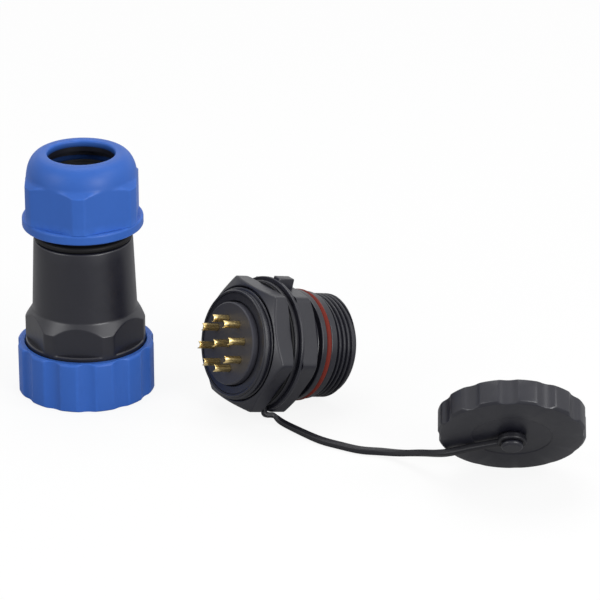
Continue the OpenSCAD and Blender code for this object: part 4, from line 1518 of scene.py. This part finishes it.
@dataclass(frozen=True)
class DustCap:
    """The fluted dust cap with its thread and rivet."""

    radius: float = 19.6
    height: float = 7.0
    wall: float = 1.8
    edge: float = 0.7
    back_edge: float = 0.3
    clock: float = -94.5
    mouth: float = 15.8
    mouth_low: float = 5.15
    mouth_slope: float = 0.6
    bore: float = 14.6
    thread_depth: float = 0.5
    thread_ends: tuple[float, float] = (1.2, 0.5)
    boss: float = 4.0
    boss_high: float = 3.3
    boss_foot: float = 0.3
    hole: float = 1.55
    dish: float = 10.5
    dish_depth: float = 0.2
    dish_slope: float = 0.25
    rivet: float = 1.5
    rivet_gap: float = 0.05
    clinch: tuple[float, float] = (1.0, 0.7)
    clinch_top: float = 0.6
    head: float = 2.95
    head_round: float = 0.5
    head_low: float = -3.5
    head_high: float = -2.3

    def build(self, threads: ThreadTree) -> None:
        """Adds the cap, its inner thread and the rivet.

        Args:
            threads: the node tree of the threads.
        """
        grip = Flutes(self.radius, self.clock)
        shell = Section([
            Corner(self.radius - self.edge, 0.0, 0.45, grip), Corner(self.radius, self.edge, 0.5, grip),
            Corner(self.radius, self.height - self.back_edge, SOFT, grip, 3),
            Corner(self.radius - self.back_edge, self.height, SOFT, grip), Corner(self.mouth, self.height, PLAIN),
            Corner(self.mouth, self.mouth_low, CRISP),
            Corner(self.bore, self.mouth_low - self.mouth_slope, CRISP),
            Corner(self.bore, self.wall, PLAIN), Corner(self.boss + self.boss_foot, self.wall, PLAIN),
            Corner(self.boss, self.boss_high, PLAIN), Corner(self.hole, self.boss_high, FINE),
            Corner(self.hole, self.dish_depth, 0.08), Corner(self.dish, self.dish_depth, FINE),
            Corner(self.dish + self.dish_slope, 0.0, FINE)])
        add_turned("dust_cap_shell", shell, Seat.CAP, Surface.BLACK, "cap", "cap_shell")
        Thread("dust_cap_thread", Seat.CAP, "cap", Surface.BLACK, self.bore, self.thread_depth,
               self.wall + self.thread_ends[0], self.mouth_low - self.thread_ends[1], True).add(threads)
        width, depth = self.clinch
        rivet = Section([
            Corner(0.0, self.head_low), Corner(self.head - self.head_round, self.head_low, 0.4),
            Corner(self.head, self.head_low + self.head_round, 0.4), Corner(self.head, self.head_high, SOFT),
            Corner(self.rivet, self.head_high, FINE), Corner(self.rivet, self.boss_high + self.rivet_gap, FINE),
            Corner(self.rivet + width, self.boss_high + self.rivet_gap, FINE),
            Corner(self.rivet + self.clinch_top, self.boss_high + depth, SOFT),
            Corner(0.0, self.boss_high + depth)], closed=False)
        add_turned("dust_cap_rivet", rivet, Seat.CAP, Surface.BLACK, "cap", "cap_rivet", COLUMNS // 4)


@dataclass(frozen=True)
class InnerParts:
    """The solids that keep their shape and only get their finish."""

    finishes: tuple[tuple[Surface, tuple[str, ...]], ...] = (
        (Surface.BLACK, ("plug_shell", "receptacle_retainer", "thrust_washer")),
        (Surface.INSERT, ("plug_insert", "receptacle_insert")),
        (Surface.STEEL, ("plug_retainer",)),
        (Surface.RUBBER, ("face_gasket", "joint_gasket", "insert_gasket", "cap_gasket")),
        (Surface.GOLD, tuple(f"socket_contact_{i}" for i in range(1, 10))))

    def build(self) -> None:
        """Sets the finish of each solid."""
        for surface, names in self.finishes:
            for name in names:
                solid = frame["nodes"][name]
                for slot in solid.material_slots:
                    slot.material = surface.value.material()
                if not solid.material_slots:
                    solid.data.materials.append(surface.value.material())
                log.info("%s: finish %s", name, surface.value.slot)


@dataclass(frozen=True)
class Lamp:
    """A square soft lamp: its name, its place, the length of its side and its power in watts."""

    name: str
    place: Triple
    size: float
    power: float

    def add(self, aim: Triple) -> None:
        """Hangs the lamp up.

        Args:
            aim: the point that it faces.
        """
        data = bpy.data.lights.new(self.name, "AREA")
        data.size, data.energy = self.size, self.power
        lamp = bpy.data.objects.new(self.name, data)
        lamp.location = self.place
        lamp.rotation_euler = (Vector(aim) - Vector(self.place)).to_track_quat("-Z", "Y").to_euler()
        bpy.context.scene.collection.objects.link(lamp)


@dataclass(frozen=True)
class Studio:
    """Camera, floor and light of the photograph."""

    eye: Triple = (0.060036, -0.911197, 0.412658)
    pitch: float = 67.0
    lens: float = 212.84
    sensor: float = 36.0
    floor_half: float = 3.0
    floor_glow: float = 0.88
    floor_mirrored: float = 0.12
    floor_seen: float = 0.92
    floor_tone: float = 0.42
    ambient: float = 0.28
    aim: Triple = (0.055, -0.03, 0.03)
    lamps: tuple[Lamp, ...] = (
        Lamp("key", (0.62, -0.78, 0.36), 0.36, 6.2), Lamp("side", (0.80, -0.28, 0.70), 0.36, 2.0),
        Lamp("left", (-0.85, -0.60, 0.48), 0.55, 4.2), Lamp("top", (0.00, 0.30, 1.05), 0.80, 5.6))

    def build(self) -> None:
        """Sets up the view, the floor and the lamps."""
        scene = bpy.context.scene
        scene.view_settings.view_transform = "Standard"
        self._camera(scene)
        self._floor()
        self._world(scene)
        for lamp in self.lamps:
            lamp.add(self.aim)

    def _camera(self, scene: bpy.types.Scene) -> None:
        """Adds the camera.

        Args:
            scene: the scene that looks through it.
        """
        data = bpy.data.cameras.new("view")
        data.lens, data.sensor_width, data.clip_start = self.lens, self.sensor, 0.01
        camera = bpy.data.objects.new("view", data)
        camera.location = self.eye
        camera.rotation_euler = (math.radians(self.pitch), 0.0, 0.0)
        scene.collection.objects.link(camera)
        scene.camera = camera

    @staticmethod
    def _seen(graph: Graph, mirrored: float) -> Value:
        """Tells which rays look at the background.

        Args:
            graph: the nodes of the floor or the world.
            mirrored: the share for rays that a glossy surface sends there.

        Returns:
            1 for rays from the camera or through glass, that share for glossy rays and 0 for all others.
        """
        path = graph.node("ShaderNodeLightPath")
        seen = graph.value(path, "Is Camera Ray").highest(graph.value(path, "Is Transmission Ray"))
        return seen.highest(graph.value(path, "Is Glossy Ray") * mirrored)

    def _floor(self) -> None:
        """Adds the white floor, which keeps the object's shadow."""
        h = self.floor_half
        mesh = bpy.data.meshes.new("floor")
        mesh.from_pydata([(-h, -h, 0.0), (h, -h, 0.0), (h, h, 0.0), (-h, h, 0.0)], [], [(0, 1, 2, 3)])
        material = bpy.data.materials.new("floor_white")
        material.use_nodes = True
        graph = Graph(material.node_tree)
        seen = self._seen(graph, self.floor_mirrored)
        tone = graph.mix(seen, (*[self.floor_tone] * 3, 1.0), (*[self.floor_seen] * 3, 1.0))
        paper = graph.node("ShaderNodeBsdfPrincipled", None, {
            "Base Color": tone, "Roughness": 1.0, "Specular IOR Level": 0.0})
        glow = graph.node("ShaderNodeEmission", None, {"Color": WHITE, "Strength": 1.0})
        both = graph.node("ShaderNodeMixShader", None, {
            0: seen * self.floor_glow, 1: paper.outputs[0], 2: glow.outputs[0]})
        graph.node("ShaderNodeOutputMaterial", None, {"Surface": both.outputs[0]})
        mesh.materials.append(material)
        floor = bpy.data.objects.new("floor", mesh)
        bpy.context.scene.collection.objects.link(floor)

    def _world(self, scene: bpy.types.Scene) -> None:
        """Sets a white background and a softer ambient light.

        Args:
            scene: the scene that gets the world.
        """
        world = bpy.data.worlds.new("studio")
        world.use_nodes = True
        scene.world = world
        graph = Graph(world.node_tree)
        seen = self._seen(graph, 1.0)
        strength = self.ambient + seen * (1.0 - self.ambient)
        sky = graph.node("ShaderNodeBackground", None, {"Color": WHITE, "Strength": strength})
        graph.node("ShaderNodeOutputWorld", None, {"Surface": sky.outputs[0]})


def main() -> None:
    """Builds the sub-assemblies in order."""
    logging.basicConfig(level=logging.INFO, format="%(message)s")
    Studio().build()
    threads = ThreadTree()
    for part in (CouplingRing(), BackShell(), GlandNut(), Receptacle(), PanelNut(), DustCap()):
        part.build(threads)
    for part in (CableSeal(), PinContacts(), CapTether(), InnerParts()):
        part.build()
    log.info("size written")


if __name__ == "__main__":
    main()
